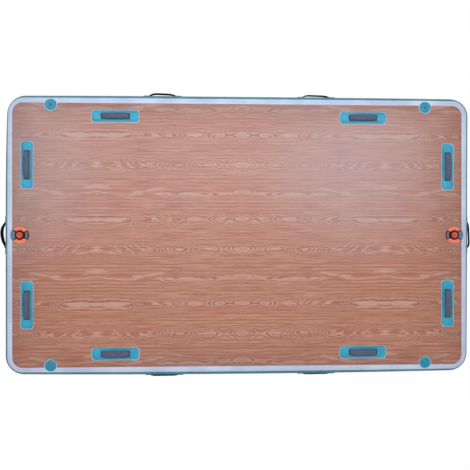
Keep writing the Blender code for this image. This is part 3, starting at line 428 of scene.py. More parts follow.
def wood_foam():
    """The deck's foam with its printed wood grain."""
    made, shader, (vector, x, y, _) = new_material("wood_foam", WOOD_MIDDLE, 0.55)
    u = maths('PINGPONG', (x - GRAIN_MIRROR) / GRAIN_STEP, GRAIN_HALF_TILE)
    rows = (GRAIN_ROW - y) / GRAIN_STEP
    drift = grain_noise(u, rows, 26, 12) - 0.5
    ripple = grain_noise(u, rows, 5, 2.2) - 0.5
    across = maths('WRAP', rows, GRAIN_BOTTOM, GRAIN_TOP) + drift * 3.0 + ripple * 1.6
    bent = u + (grain_noise(rows, u, 6, 14) - 0.5) * 9.0
    off_row = None
    for row in GRAIN_ROWS:
        off = across - row
        blunt = maths('SQRT', off * off + RING_NOSE ** 2)
        off_row = maths('MINIMUM', off_row, blunt) if off_row else blunt
    bends = marks = None
    for *lobe, rings, full in GRAIN_BENDS:
        distance = lobe_distance(bent, across, *lobe)
        bend, mark = smooth_step(distance, 1.0, full) * rings, smooth_step(distance, 1.0, 0.7)
        bends, marks = (bends + bend, marks + mark) if bends else (bend, mark)
    ring = maths('FRACT', bends - off_row * RINGS_A_STEP)
    figure = maths('MINIMUM', marks, 1.0) * smooth_step(off_row, 9.0, 5.0)
    strong = ramp(ring, ((0.0, WOOD_RED), (0.14, WOOD_PALE), (0.42, WOOD_PALE), (0.56, WOOD_RED),
                         (0.74, WOOD_DARK), (0.88, WOOD_DARK), (1.0, WOOD_RED)))
    calm = ramp(ring, ((0.0, WOOD_MIDDLE), (0.5, WOOD_LIGHT), (0.85, WOOD_DUSK), (1.0, WOOD_MIDDLE)))
    colour = mix(figure * 0.95, calm, strong)
    streaks = grain_noise(u, rows, 30, 1.1, 3.0)
    colour = tinted(colour, WOOD_LIGHT, streaks, 0.5, 0.64, 0.85)
    colour = tinted(colour, WOOD_DUSK, streaks, 0.48, 0.34, 0.85)
    colour = tinted(colour, WOOD_RED, grain_noise(u, rows, 60, 9), 0.4, 0.7, 0.35)
    for table, tint, blur in ((GRAIN_PALE, WOOD_PALE, 0.3), (GRAIN_RED, WOOD_RED, 0.5)):
        shapes = None
        for *lobe, strength in table:
            shape = smooth_step(lobe_distance(u, across, *lobe), 1.0, 1.0 - blur, 0.0, strength)
            shapes = maths('MAXIMUM', shapes, shape) if shapes else shape
        colour = mix(shapes * smooth_step(streaks, 0.3, 0.6, 0.75, 1.0), colour, tint)
    fibres = grain_noise(u, rows, 9, 0.28)
    colour = tinted(colour, WOOD_DARK, fibres, 0.42, 0.75, 0.35)
    # Painted sheen: the foam turns paler and lavender towards its rear edge and in two spots, where reflected
    # light lies
    painted_sheen = smooth_step(y + noise(vector, 1.5, 2.0) * 0.3, *SHEEN_REACH, 0.0, SHEEN_SHARE)
    for *lobe, share in SHEEN_SPOTS:
        painted_sheen = painted_sheen + smooth_step(lobe_distance(x, y, *lobe), 1.0, 0.2, 0.0, share)
    colour = mix(painted_sheen, colour, WOOD_SHEEN_TINT)
    # Darker towards the pad's edges
    from_edge = maths('MINIMUM', PAD_HIGH.x - abs(x), (PAD_HIGH.y - abs(y)) * EDGE_DARK_SHAPE)
    colour = mix(smooth_step(from_edge, EDGE_DARK_REACH, -EDGE_DARK_REACH / 5), colour, EDGE_DARK_TINT, 'MULTIPLY')
    normal = Field(node(x.tree, "NewGeometry"), "Normal")
    up = Field(node(x.tree, "SeparateXYZ", {"Vector": normal}), "Z")
    cells = noise(vector, 900.0, 2.0)
    bump(shader, cells + grain_noise(x * (1 / GRAIN_STEP), rows, 2.5, 0.22), 0.00025, 0.5)
    coat(shader, colour=tinted(colour, WOOD_EDGE, up, 0.97, 0.6), specular=0.7,
         roughness=smooth_step(cells, 0.3, 0.7, 0.48, 0.62))
    return made


def webbing_weave(name, colour, light, pitch=0.0021, sheen=0.25, specular=0.5):
    """Woven webbing: ribs along the strap, each of slanting yarns that turn back at every rib."""
    colour, light = linear(*colour), linear(*light)
    made, shader, (vector, x, y, _) = new_material(name, colour, 0.75)
    yarn = abs(waves(x + maths('PINGPONG', y, pitch), 0.0022))
    height = yarn * smooth_step(maths('PINGPONG', y, pitch / 2), 0.0, pitch / 4)
    tint = mix(height * noise(vector, 1500.0, 2.0), colour, light)
    coat(shader, colour=tint, sheen=sheen, specular=specular)
    bump(shader, height, 0.0004, 0.7)
    return made


def knitted_face(name, colour, light, loop=0.0014):
    """Foam rubber with a fine knitted face."""
    colour, light = linear(*colour), linear(*light)
    made, shader, (vector, x, y, _) = new_material(name, colour, 0.82)
    loops = waves(x, loop) * waves(y, loop)
    clouds = noise(vector, 60.0, 4.0, 0.6)
    tint = tinted(colour, light, clouds, 0.3, 0.75)
    coat(shader, colour=tinted(tint, light, loops, 0.2, 1.0, 0.3), sheen=0.35)
    bump(shader, loops + clouds, 0.0002, 0.6)
    return made


def moulded(name, colour, roughness, worn, specular=0.5):
    """Moulded plastic or rubber: fine spark texture, and a paler, rougher bloom of handling."""
    made, shader, (vector, *_) = new_material(name, linear(*colour), roughness)
    bloom = noise(vector, 90.0, 5.0, 0.65)
    coat(shader, colour=tinted(linear(*colour), linear(*worn), bloom, 0.5, 0.8, 0.4),
         roughness=smooth_step(bloom, 0.35, 0.8, roughness, min(roughness + 0.22, 1.0)), specular=specular)
    bump(shader, noise(vector, 2600.0, 2.0), 0.00006, 0.5)
    return made


def polished_steel():
    """Stainless wire, drawn and dulled by salt, with fine scratches."""
    made, shader, (_, x, y, z) = new_material("ring_steel", linear(112, 124, 130), 0.40, 1.0)
    scratches = noise(joined(x * 2400.0, y * 150.0, z * 150.0), 1.0, 3.0)
    bright, dull = linear(116, 130, 136), linear(88, 98, 104)
    coat(shader, roughness=smooth_step(scratches, 0.3, 0.8, 0.34, 0.55),
         colour=tinted(bright, dull, scratches, 0.5, 0.9, 0.4))
    return made


def woven_core():
    """The undyed drop-stitch cloth inside the hull."""
    made, shader, (_, x, y, _) = new_material("drop_stitch_cloth", linear(226, 226, 218), 0.85)
    weave = waves(x, 0.002) * waves(y, 0.002)
    coat(shader, colour=tinted(linear(205, 205, 196), linear(236, 236, 229), weave, -0.5, 1.0))
    bump(shader, weave, 0.0002)
    return made


# Deck ring round a valve: two orange sectors across the platform, and a grey one on each side, the outer
# wider. The lines between the sectors narrow outwards, the collar and the hem are wider on the platform's
# side, and each printed edge is so soft.
OUTER_SECTOR_EDGE = radians(39)
INNER_SECTOR_EDGE = radians(31)
RING_INNER = 0.0325
RING_OUTER = 0.0585
LINE_INNER, LINE_OUTER = 0.0052, 0.0020
COLLAR = 0.0045
HEM_OUTER, HEM_INNER = 0.0555, 0.0500
PRINT_EDGE = 0.0006


def valve_disc():
    """The foam disc, its sectors divided by black lines, with a black line round the valve and a dark hem."""
    made, shader, (vector, x, y, _) = new_material("valve_disc_foam", linear(236, 120, 88), 0.55)
    radius = maths('SQRT', x * x + y * y)
    inner_side = smooth_step(x, -0.001, 0.001)
    edge = smooth_step(inner_side, 0.0, 1.0, OUTER_SECTOR_EDGE, INNER_SECTOR_EDGE)
    from_edge = (maths('ARCTAN2', abs(y), abs(x)) - edge) * radius
    foam = noise(vector, 300.0, 4.0)
    speckle = smooth_step(foam, 0.3, 0.7)
    warm = mix(speckle, linear(238, 124, 94), linear(248, 142, 112))
    warm = tinted(warm, linear(186, 92, 70), radius, 0.0535, 0.0565, 0.8)
    outer = mix(speckle, linear(98, 112, 132), linear(116, 130, 150))
    inner = mix(speckle, linear(104, 94, 92), linear(136, 124, 118))
    colour = mix(smooth_step(from_edge, -PRINT_EDGE, PRINT_EDGE), mix(inner_side, outer, inner), warm)
    half_line = smooth_step(radius, RING_INNER, RING_OUTER, LINE_INNER, LINE_OUTER)
    divider = smooth_step(abs(from_edge), half_line, half_line - PRINT_EDGE)
    grey = smooth_step(from_edge, PRINT_EDGE, -PRINT_EDGE)
    collar_end = smooth_step(inner_side, 0.0, 1.0, RING_INNER, RING_INNER + COLLAR)
    wide_collar = smooth_step(radius - collar_end, 0.0, -PRINT_EDGE) * grey
    hem = smooth_step(radius - smooth_step(inner_side, 0.0, 1.0, HEM_OUTER, HEM_INNER), 0.0, 0.0008) * grey
    inner_collar = smooth_step(radius, RING_INNER, RING_INNER - PRINT_EDGE)
    black = maths('MAXIMUM', maths('MAXIMUM', divider, hem), maths('MAXIMUM', inner_collar, wide_collar))
    coat(shader, colour=mix(black, colour, linear(30, 20, 22)), specular=0.3)
    bump(shader, foam + black * 2.0, 0.0002, 0.6)
    return made


MATERIALS = {
    "white_pvc": coated_fabric("white_coated_fabric", (206, 214, 238), (216, 224, 245), (196, 205, 230)),
    "teal_pvc": coated_fabric("teal_coated_fabric", (62, 150, 174), (76, 164, 186), (50, 138, 164)),
    "pocket_teal": coated_fabric("pocket_coated_fabric", (30, 168, 200), (44, 182, 210), (22, 152, 186),
                                 0.36),
    "ring_teal": coated_fabric("ring_coated_fabric", (6, 152, 180), (18, 164, 192), (2, 136, 164), 0.36),
    "side_teal": coated_fabric("side_coated_fabric", (55, 135, 150), (69, 148, 163), (46, 122, 138)),
    "wood_foam": wood_foam(),
    "woven_polyester": woven_core(),
    "grey_neoprene": knitted_face("grip_neoprene", (74, 83, 106), (92, 99, 122)),
    "grip_binding": webbing_weave("grip_binding_tape", (32, 42, 60), (52, 64, 82), 0.0012),
    "black_webbing": webbing_weave("black_webbing_weave", (20, 21, 27), (42, 45, 54), sheen=0.0,
                                   specular=0.1),
    "grey_webbing": webbing_weave("grey_webbing_weave", (56, 64, 76), (92, 100, 112)),
    "thread": knitted_face("stitching_thread", (150, 164, 176), (176, 188, 198), 0.0006),
    "dark_thread": knitted_face("dark_stitching_thread", (34, 38, 44), (60, 66, 74), 0.0006),
    "steel": polished_steel(),
    "black_plastic": moulded("valve_black_plastic", (20, 17, 18), 0.5, (40, 36, 38), 0.2),
    "red_plastic": moulded("cap_red_plastic", (220, 70, 46), 0.3, (236, 116, 84), 0.4),
    "grey_plastic": moulded("inner_grey_plastic", (140, 143, 148), 0.4, (168, 171, 176)),
    "black_rubber": moulded("tether_black_rubber", (26, 25, 26), 0.6, (50, 49, 50), 0.3),
    "orange_foam": valve_disc(),
}


# Outlines

CORNERS = ((1, 1), (-1, 1), (-1, -1), (1, -1))


def shares(count):
    """Even shares from 0 to 1."""
    return [i / count for i in range(count + 1)]


def spread(reach, steps):
    """Even places from -reach to reach."""
    return [reach * (2 * share - 1) for share in shares(steps)]


def smooth_share(value, low, high):
    """Eases from 0 at low to 1 at high."""
    share = max(0.0, min(1.0, (value - low) / (high - low)))
    return share * share * (3 - 2 * share)


def arc(middle, radius, start, sweep, steps):
    """Points along an arc."""
    return [(middle[0] + radius * cos(start + sweep * share), middle[1] + radius * sin(start + sweep * share))
            for share in shares(steps)]


def circle(middle, radius, steps):
    """Points round a circle."""
    return arc(middle, radius, 0.0, tau, steps)[:-1]


def rectangle(left, right, low, high):
    return [(left, low), (right, low), (right, high), (left, high)]


def rounded(profile, radius, steps=4):
    """Rounds a closed profile's corners by arcs that reach a radius along each side at the most."""
    points = []
    for i, corner in enumerate(profile):
        here = Vector(corner)
        before, after = Vector(profile[i - 1]) - here, Vector(profile[(i + 1) % len(profile)]) - here
        reach = min(radius, before.length / 2, after.length / 2)
        start, end = here + before.normalized() * reach, here + after.normalized() * reach
        for share in shares(steps):
            points.append(tuple(start * (1 - share) ** 2 + here * 2 * share * (1 - share) + end * share ** 2))
    return points


def corner_arcs(half_x, half_y, radius, steps):
    """The four arcs round a rectangle with rounded corners."""
    return [arc((side * (half_x - radius), end * (half_y - radius)), radius, quarter * pi / 2, pi / 2, steps)
            for quarter, (side, end) in enumerate(CORNERS)]


def rounded_outline(length, width, radius, steps, side_steps=1):
    """Points round a rectangle with rounded corners; its straight sides are split into side_steps."""
    arcs = corner_arcs(length / 2, width / 2, radius, steps)
    points = []
    for bend, following in zip(arcs, arcs[1:] + arcs[:1]):
        points += [Vector(point) for point in bend]
        last, target = points[-1], Vector(following[0])
        points += [last.lerp(target, i / side_steps) for i in range(1, side_steps)]
    return points


# Mesh helpers. Each one returns a mesh of closed bodies.

def smooth(mesh):
    mesh.shade_smooth()
    mesh.set_sharp_from_angle(angle=SMOOTH_ANGLE)
    return mesh


def mesh_from(bm, name):
    """Ends a bmesh as a smooth-shaded mesh with its faces pointing out."""
    bmesh.ops.remove_doubles(bm, verts=bm.verts, dist=MERGE)
    bmesh.ops.recalc_face_normals(bm, faces=bm.faces)
    mesh = bpy.data.meshes.new(name)
    bm.to_mesh(mesh)
    bm.free()
    return smooth(mesh)


def skin_rings(bm, rings, closed=False, ends=True):
    """Skins rings of equal counts in a bmesh: closed from last to first, or capped at its ends."""
    loops = [[bm.verts.new(point) for point in ring] for ring in rings]
    if closed:
        loops.append(loops[0])
    elif ends:
        bm.faces.new(loops[0])
        bm.faces.new(loops[-1])
    for near, far in zip(loops, loops[1:]):
        for i, vertex in enumerate(near):
            bm.faces.new((vertex, near[i - 1], far[i - 1], far[i]))
    return loops


def loft(name, rings, closed=False):
    """One body skinned over rings."""
    bm = bmesh.new()
    skin_rings(bm, rings, closed)
    return mesh_from(bm, name)


def turned(profile, steps):
    """A closed profile of (radius, height) points, repeated round Z."""
    rings = []
    for i in range(steps):
        angle = tau * i / steps
        rings.append([(radius * cos(angle), radius * sin(angle), height) for radius, height in profile])
    return rings


def add(name, data):
    """A new object in the scene."""
    made = bpy.data.objects.new(name, data)
    bpy.context.scene.collection.objects.link(made)
    return made


def cut(mesh, *cutters):
    """Cuts meshes out of a mesh by exact Booleans."""
    base = add(mesh.name, mesh)
    tools = [add("cutter", cutter) for cutter in cutters]
    for tool in tools:
        step = base.modifiers.new("cut", 'BOOLEAN')
        step.operation = 'DIFFERENCE'
        step.solver = 'EXACT'
        step.object = tool
    bpy.context.view_layer.update()
    result = bpy.data.meshes.new_from_object(base.evaluated_get(bpy.context.evaluated_depsgraph_get()))
    result.name = mesh.name
    for made in (base, *tools):
        bpy.data.objects.remove(made, do_unlink=True)
    return smooth(result)


def prism(outline, low, high):
    """A plain upright body, for a cutter or a bar."""
    return loft("prism", [[(x, y, height) for x, y in outline] for height in (low, high)])


def tube(name, points, radius, closed=False, sides=20):
    """A round wire along points that lie in a plane of constant Z, or nearly."""
    rings = []
    count = len(points)
    for i, point in enumerate(points):
        before = points[i - 1] if closed or i else point
        after = points[(i + 1) % count] if closed or i < count - 1 else point
        run = (Vector(after) - Vector(before)).normalized()
        side = run.cross(UP).normalized()
        lift = side.cross(run)
        rings.append([Vector(point) + side * across + lift * up
                      for across, up in circle((0.0, 0.0), radius, sides)])
    return loft(name, rings, closed)


def on_deck(middle, turn):
    """The frame of a fitting on the top skin, turned round Z."""
    return Matrix.Translation((middle.x, middle.y, HULL_HEIGHT)) @ Matrix.Rotation(turn, 4, 'Z')


def fitting_boxes(prefix):
    """The middle and size of each CAD node whose name starts so, by the rest of the name."""
    found = {}
    for name in sorted(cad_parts):
        if name.startswith(prefix):
            low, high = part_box(name)
            found[name[len(prefix):]] = ((low + high) / 2, high - low)
    return found


def piece(name, mesh, finish, replaces=None, place=Matrix.Identity(4), body="root", on_rim=False):
    """Places a mesh as a named piece that rides on a body and stands for a CAD node; bowed if on the rim."""
    if on_rim:
        mesh = mesh.copy()
        back = place.inverted()
        for vertex in mesh.vertices:
            vertex.co = back @ Vector(bowed(place @ vertex.co))
    made = add(name, mesh)
    if not mesh.materials:
        mesh.materials.append(MATERIALS[finish])
    made.matrix_world = place
    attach(made, body)
    if replaces:
        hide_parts(replaces)
    return made


def bent_piece(name, mesh, finish, replaces):
    """A piece between two bodies, which rides on neither of them."""
    made = add(name, mesh)
    mesh.materials.append(MATERIALS[finish])
    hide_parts(replaces)
    return made


# Hull

def rim_point(angle, depth):
    """The rim's section at an angle from its top (0) to its bottom (pi): how far in, and how high."""
    across = abs(sin(angle)) ** (2 / RIM_POWER)
    rise = copysign(abs(cos(angle)) ** (2 / RIM_POWER), cos(angle))
    steep = RIM_POWER - 1
    outwards, upwards = across ** steep / RIM_DEPTH, copysign(abs(rise) ** steep, rise) * 2 / HULL_HEIGHT
    normal = Vector((outwards, upwards)).normalized()
    return RIM_DEPTH * (1 - across) + depth * normal.x, HULL_HEIGHT / 2 * (1 + rise) - depth * normal.y


def rim_angle(inset):
    """The angle on the rim's upper half at which its face lies this far in."""
    return math.asin((1 - inset / RIM_DEPTH) ** (RIM_POWER / 2))


def pucker(point, angle):
    """How far the seam draws the fabric in at a corner: small folds across it, none on the flat sides."""
    reach_x, reach_y = [abs(at) - (half - CORNER_RADIUS) for at, half in zip(point, HULL_HALF)]
    if reach_x <= 0 or reach_y <= 0:
        return 0.0
    turn = math.atan2(reach_y, reach_x) / (pi / 2)
    fold = 0.5 - 0.5 * cos(tau * PUCKERS * turn)
    near_seam = math.exp(-((sin(angle) - sin(rim_angle(SEAM_INSET))) / PUCKER_REACH) ** 2)
    return PUCKER_DEPTH * fold * sin(pi * turn) * near_seam


def from_core(flat):
    """How a point lies from the rectangle through the corners' centres."""
    core = [max(CORNER_RADIUS - half, min(half - CORNER_RADIUS, at)) for at, half in zip(flat, HULL_HALF)]
    return flat - Vector(core)


def bowed(point):
    """Where a point on or over the rim lies once the hull is blown up; the flat deck inside the rim stays."""
    flat = Vector((point[0], point[1]))
    share = min(max(1 - (CORNER_RADIUS - from_core(flat).length) / RIM_DEPTH, 0.0), 1.0)
    end, side = "left" if flat.x < 0 else "right", "front" if flat.y < 0 else "rear"
    along_x, along_y = [min(abs(at) / half, 1.0) for at, half in zip(flat, HULL_HALF)]
    (pull_x, power_x), (pull_y, power_y) = CORNER_PULLS[end, side]
    draw_x = (SIDE_INSETS[end] + pull_x * along_y ** power_x) * along_x ** ROUND_CORNER * share
    draw_y = (SIDE_INSETS[side] + pull_y * along_x ** power_y) * along_y ** ROUND_CORNER * share
    return flat.x - copysign(1.0, flat.x) * draw_x, flat.y - copysign(1.0, flat.y) * draw_y, point[2]


def hull_ring(angle, depth):
    """A loop round the hull at one angle of its rim, drawn in by the corners' puckers."""
    inset = rim_point(angle, depth)[0]
    ring = []
    for point in rounded_outline(HULL_LENGTH - 2 * inset, HULL_WIDTH - 2 * inset, CORNER_RADIUS - inset,
                                 CORNER_STEPS, SIDE_STEPS):
        draw = pucker(point, angle)
        pulled_inset, height = rim_point(angle, depth + draw)
        away = from_core(point)
        if draw and away.length > 0:
            point = point - away.normalized() * (pulled_inset - inset)
        ring.append(bowed((point.x, point.y, height)))
    return ring


def rim_layer(first, last, steps, outer, inner):
    """Loops of one layer of the rim, along its outer face and back along its inner face."""
    angles = [first + (last - first) * share for share in shares(steps)]
    faces = [(angle, outer) for angle in angles] + [(angle, inner) for angle in reversed(angles)]
    return [hull_ring(angle, depth) for angle, depth in faces]


def valve_places():
    """Each valve's axis on the top skin, with its turn round Z."""
    middles = fitting_boxes("valve_body_")
    return {spot: on_deck(middles[spot][0], turn) for spot, turn in (("left", 0.0), ("right", pi))}


def make_hull():
    seam = rim_angle(SEAM_INSET)
    split = GAP / RIM_DEPTH
    top = loft("hull_top_skin", rim_layer(0.0, seam - split, SKIN_STEPS, 0.0, SKIN))
    holes = [prism(circle(place.translation, VALVE_HOLE, ROUND_STEPS), HULL_HEIGHT - HOLE_REACH,
                   HULL_HEIGHT + HOLE_REACH) for place in valve_places().values()]
    piece("hull_top_skin", cut(top, *holes), "white_pvc", "top_skin")
    bottom = loft("hull_bottom_skin", rim_layer(pi, pi - seam + split, SKIN_STEPS, 0.0, SKIN))
    piece("hull_bottom_skin", bottom, "white_pvc", "bottom_skin")
    wall = rim_layer(seam + split, pi - seam - split, WALL_STEPS, 0.0, SKIN)
    piece("hull_side_wall", loft("hull_side_wall", wall, closed=True), "side_teal", "side_wall")
    inner, outer = rim_angle(TAPE_INNER_INSET), rim_angle(TAPE_OUTER_INSET)
    for name, first, last in (("top_seam_tape", inner, outer), ("bottom_seam_tape", pi - inner, pi - outer)):
        edge = (last - first) * TAPE_EDGE
        rings = rim_layer(first + edge, last - edge, TAPE_STEPS, -GAP - TAPE, -GAP)
        ends = [hull_ring(angle, -GAP - TAPE / 3) for angle in (last, first)]
        rings = rings[:TAPE_STEPS + 1] + ends[:1] + rings[TAPE_STEPS + 1:] + ends[1:]
        piece(f"welded_{name}", loft(name, rings, closed=True), "white_pvc", name)


# Foam deck

def notch(along, into, radius):
    """Points (along, into) where a round opening breaks a straight edge; into is 0 on the edge."""
    start = math.asin(-into / radius)
    return arc((along, into), radius, start, pi - 2 * start, 36)


def pad_outline(shrink):
    """The foam's outer edge, drawn in by shrink, with the round openings that break it."""
    half_x, half_y = [reach - trim - shrink for reach, trim in zip(PAD_HIGH, PAD_TRIM)]
    room = PAD_CLEARANCE + shrink
    ring = fitting_boxes("tie_ring_patch_")["rear_right"][0]
    rings = []
    for along in (ring.x, -ring.x):
        rings += notch(along, half_y - ring.y, RING_PATCH_RADIUS + room)
    valve = notch(0.0, half_x - valve_places()["right"].translation.x, RING_OUTER + room)
    points = []
    arcs = corner_arcs(half_x, half_y, CORNER_RADIUS - RIM_DEPTH - shrink, CORNER_STEPS)
    for quarter, (side, end) in enumerate(CORNERS):
        points += arcs[quarter]
        if quarter in (0, 2):
            points += [(along * end, end * (half_y - into)) for along, into in rings]
        else:
            points += [(side * (half_x - into), along * end) for along, into in valve]
    return points


def handle_openings(shrink):
    """The openings round the deck handles' patches, widened by shrink."""
    loops = []
    room = PAD_CLEARANCE + shrink
    for middle, size in fitting_boxes("deck_handle_patch_").values():
        outline = rounded_outline(size.x + 2 * room, size.y + 2 * room, PATCH_CORNER + room, PATCH_STEPS)
        loops.append([(middle.x + point.x, middle.y + point.y) for point in outline])
    return loops


def make_pad():
    """The foam sheet: its edges rounded off, cut out round every fitting."""
    levels = [(PAD_LOW.z, 0.0)]
    for share in shares(PAD_EDGE_STEPS):
        angle = pi / 2 * share
        levels.append((PAD_HIGH.z - PAD_EDGE * (1 - sin(angle)), PAD_EDGE * (1 - cos(angle))))
    bm = bmesh.new()
    lids = {0: [], len(levels) - 1: []}
    outlines = [[pad_outline(shrink), *handle_openings(shrink)] for height, shrink in levels]
    for wall in zip(*outlines):
        rings = [[(x, y, height) for x, y in ring] for ring, (height, shrink) in zip(wall, levels)]
        loops = skin_rings(bm, rings, ends=False)
        for level in lids:
            loop = loops[level]
            lids[level] += [bm.edges.get((loop[i - 1], loop[i])) for i in range(len(loop))]
    for edges in lids.values():
        bmesh.ops.triangle_fill(bm, use_beauty=True, use_dissolve=False, edges=edges)
    pad = piece("foam_deck_pad", mesh_from(bm, "foam_deck_pad"), "wood_foam", "deck_pad")


# Patches, webbing and grips: in their own frame, X runs along the strap and Z away from the hull

def flat_ground(x, y):
    return 0.0


def wall_ground(x, y):
    """The side wall's face, back from its outermost line, at a height y over its middle."""
    level = 1 - min(abs(y) / (HULL_HEIGHT / 2), 1.0) ** RIM_POWER
    return -RIM_DEPTH * (1 - level ** (1 / RIM_POWER))


def draped(name, levels, ground):
    """A sheet on its ground: outlines, each with its share of the thickness, and the same ones underneath."""
    rings = [[(x, y, ground(x, y) + GAP + PATCH * share) for x, y in outline] for outline, share in levels]
    under = [[(x, y, ground(x, y) + GAP) for x, y in outline] for outline, share in reversed(levels)]
    return loft(name, rings + under[:-1])


def patch_mesh(name, length, width, ground):
    """A welded patch: soft edges, and a pressed weld line inside them, laid on its ground."""
    groove = WELD_DEPTH / PATCH
    insets = PATCH_EDGE + [(WELD_INSET + WELD_WIDTH * (share - 0.5), 1.0 - groove * sin(pi * share))
                           for share in shares(4)]
    step = (width / 2 - WELD_INSET - WELD_WIDTH) / 6
    insets += [(WELD_INSET + WELD_WIDTH + step * i, 1.0) for i in range(6)]
    corners = [max(PATCH_CORNER - inset, LEAST_CORNER) for inset, share in insets]
    insets.append((width / 2 - step / 2, 1.0))
    corners.append(SPINE_CORNER)
    levels = []
    for (inset, share), corner in zip(insets, corners):
        outline = rounded_outline(length - 2 * inset, width - 2 * inset, corner, PATCH_STEPS,
                                  PATCH_SIDE_STEPS)
        levels.append((outline, share))
    return draped(name, levels, ground)


def pocket_sheet(bm, inner, outer, ground):
    """One pocket: a sheet that rises over the strap's end and lies flat on the patch round it."""
    base = GAP + PATCH
    reach_y = POCKET_HALF + POCKET_FLANGE

    def surface(x, y):
        along = abs(x)
        crest = smooth_share(reach_y - abs(y), POCKET_FLAT, POCKET_FLANGE - POCKET_FOOT)
        crest *= smooth_share(abs(outer) - along, POCKET_FLAT, POCKET_END_MARGIN + POCKET_SLOPE)
        swell = cos(pi * y / (2 * POCKET_HALF)) * smooth_share(along, abs(inner), abs(inner) + POCKET_MOUTH)
        edge = ground(x, y) + base + POCKET_EDGE
        return edge + (POCKET_TOP * (1.0 + POCKET_CROWN * swell) - edge) * crest

    rings = []
    for share in shares(POCKET_COLUMNS):
        x = inner + (outer - inner) * share
        short = max(POCKET_CORNER - abs(outer) + abs(x), 0.0)
        trim = POCKET_CORNER - sqrt(max(POCKET_CORNER ** 2 - short ** 2, 0.0))
        top = [(x, y, surface(x, y)) for y in spread(reach_y - trim, POCKET_ROWS)]
        under = [(x, y, max(z - POCKET_WALL, ground(x, y) + base - POCKET_SINK)) for x, y, z in reversed(top)]
        rings.append(top + under)
    loops = skin_rings(bm, rings, ends=False)
    for loop in (loops[0], loops[-1]):
        for j in range(POCKET_ROWS):
            bm.faces.new((loop[j], loop[j + 1], loop[-2 - j], loop[-1 - j]))
    return surface


def bow(share, powers):
    """How far a strap has risen, from 0 at its pockets to 1 at its middle."""
    return (1 - min(abs(share), 1.0) ** powers[0]) ** powers[1]


def strap_middle(x, span, rise, powers, tilt=0.0, rest=TAB_MIDDLE):
    """A point on a strap's middle line, which rests so high in the pockets; a tilt raises one end."""
    share = max(-1.0, min(1.0, x / (span / 2)))
    return Vector((x, 0.0, rest + rise * bow(share, powers) * (1 + tilt * share)))


def band_ring(middle, run, profile):
    """A section of (across, up) points square to a strap's run."""
    normal = Vector((-run.z, 0.0, run.x))
    return [middle + Vector((0.0, across, 0.0)) + normal * up for across, up in profile]


def webbing_profile(width, thickness):
    """Flat webbing with round selvedges."""
    return rounded(rectangle(-width / 2, width / 2, -thickness / 2, thickness / 2), thickness * 0.48)


def webbing_mesh(name, span, rise, powers, tab_end, lean=0.0, tilt=0.0, rest=TAB_MIDDLE, thickness=WEBBING):
    """A strap from the end of one pocket to the end of the other; its middle may lean, its +Y edge away."""
    profile = webbing_profile(WEBBING_WIDTH, thickness)
    rings = []
    for x in spread(tab_end, STRAP_STEPS):
        before, here, after = [strap_middle(at, span, rise, powers, tilt, rest)
                               for at in (x - GAP, x, x + GAP)]
        angle = lean * bow(2 * x / span, powers)
        leaning = [(across * cos(angle) - up * sin(angle), up * cos(angle) + across * sin(angle))
                   for across, up in profile]
        rings.append(band_ring(here, (after - before).normalized(), leaning))
    return loft(name, rings)


def grip_middle(x):
    return strap_middle(x, DECK_SPAN, DECK_RISE, DECK_BOW)


def grip_width(x):
    """The grip's width along its length: it swells towards its middle."""
    return GRIP_END_WIDTH + (GRIP_WIDTH - GRIP_END_WIDTH) * (1 - (2 * x / GRIP_LENGTH) ** 2)


def grip_profile(thickness, width):
    """The grip's section: a crowned, padded middle between two flat bound edges, and the same underneath."""
    inner = width / 2 - BINDING
    edge = [(width / 2 - inset, BINDING_HALF * share) for inset, share in BINDING_EDGE]
    shoulder = edge[1][1]
    crown = []
    for across in spread(CROWN_INSET - inner, CROWN_STEPS):
        share = 1 - abs(across / inner) ** CROWN_POWERS[0]
        crown.append((across, shoulder + (thickness / 2 - shoulder) * share ** CROWN_POWERS[1]))
    top = edge + crown + [(-across, up) for across, up in reversed(edge)]
    return top + [(across, -up) for across, up in reversed(top[1:-1])]


def grip_mesh():
    """The padded grip: crowned along its middle, drawn flat at its sewn ends, with bound edges."""
    rings = []
    for x in spread(GRIP_LENGTH / 2, GRIP_STEPS):
        full = smooth_share(GRIP_LENGTH / 2 - abs(x), 0.0, GRIP_END_LENGTH)
        thickness = GRIP_END_THICKNESS + (GRIP_THICKNESS - GRIP_END_THICKNESS) * full
        run = grip_middle(x + GRIP_RUN) - grip_middle(x - GRIP_RUN)
        rings.append(band_ring(grip_middle(x), run.normalized(), grip_profile(thickness, grip_width(x))))
    mesh = loft("deck_handle_grip", rings)
    mesh.materials.append(MATERIALS["grey_neoprene"])
    mesh.materials.append(MATERIALS["grip_binding"])
    for face in mesh.polygons:
        edge = abs(face.center.y) > grip_width(face.center.x) / 2 - BINDING
        end = abs(face.center.x) > GRIP_LENGTH / 2 - BINDING
        face.material_index = 1 if edge or end else 0
    return mesh


def stitch_row(bm, points):
    """Stitches along a line of points, each a small arched thread whose ends dip into the cloth."""
    line = [Vector(point) for point in points]
    lengths = [0.0]
    for near, far in zip(line, line[1:]):
        lengths.append(lengths[-1] + (far - near).length)

    def at(distance):
        for i in range(1, len(line)):
            if distance <= lengths[i] or i == len(line) - 1:
                share = (distance - lengths[i - 1]) / max(lengths[i] - lengths[i - 1], MERGE)
                return line[i - 1].lerp(line[i], share)

    count = int(lengths[-1] / STITCH_PITCH)
    for i in range(count):
        start = (i + 0.5) * lengths[-1] / count - STITCH_LENGTH / 2
        ends = at(start), at(start + STITCH_LENGTH)
        run = (ends[1] - ends[0]).normalized()
        side = run.cross(UP).normalized()
        up = side.cross(run)
        rings = []
        for share, size, rise in STITCH:
            middle = ends[0].lerp(ends[1], share) + up * STITCH_RADIUS * rise
            rings.append([middle + side * across + up * high
                          for across, high in circle((0.0, 0.0), STITCH_RADIUS * size, STITCH_SIDES)])
        skin_rings(bm, rings)


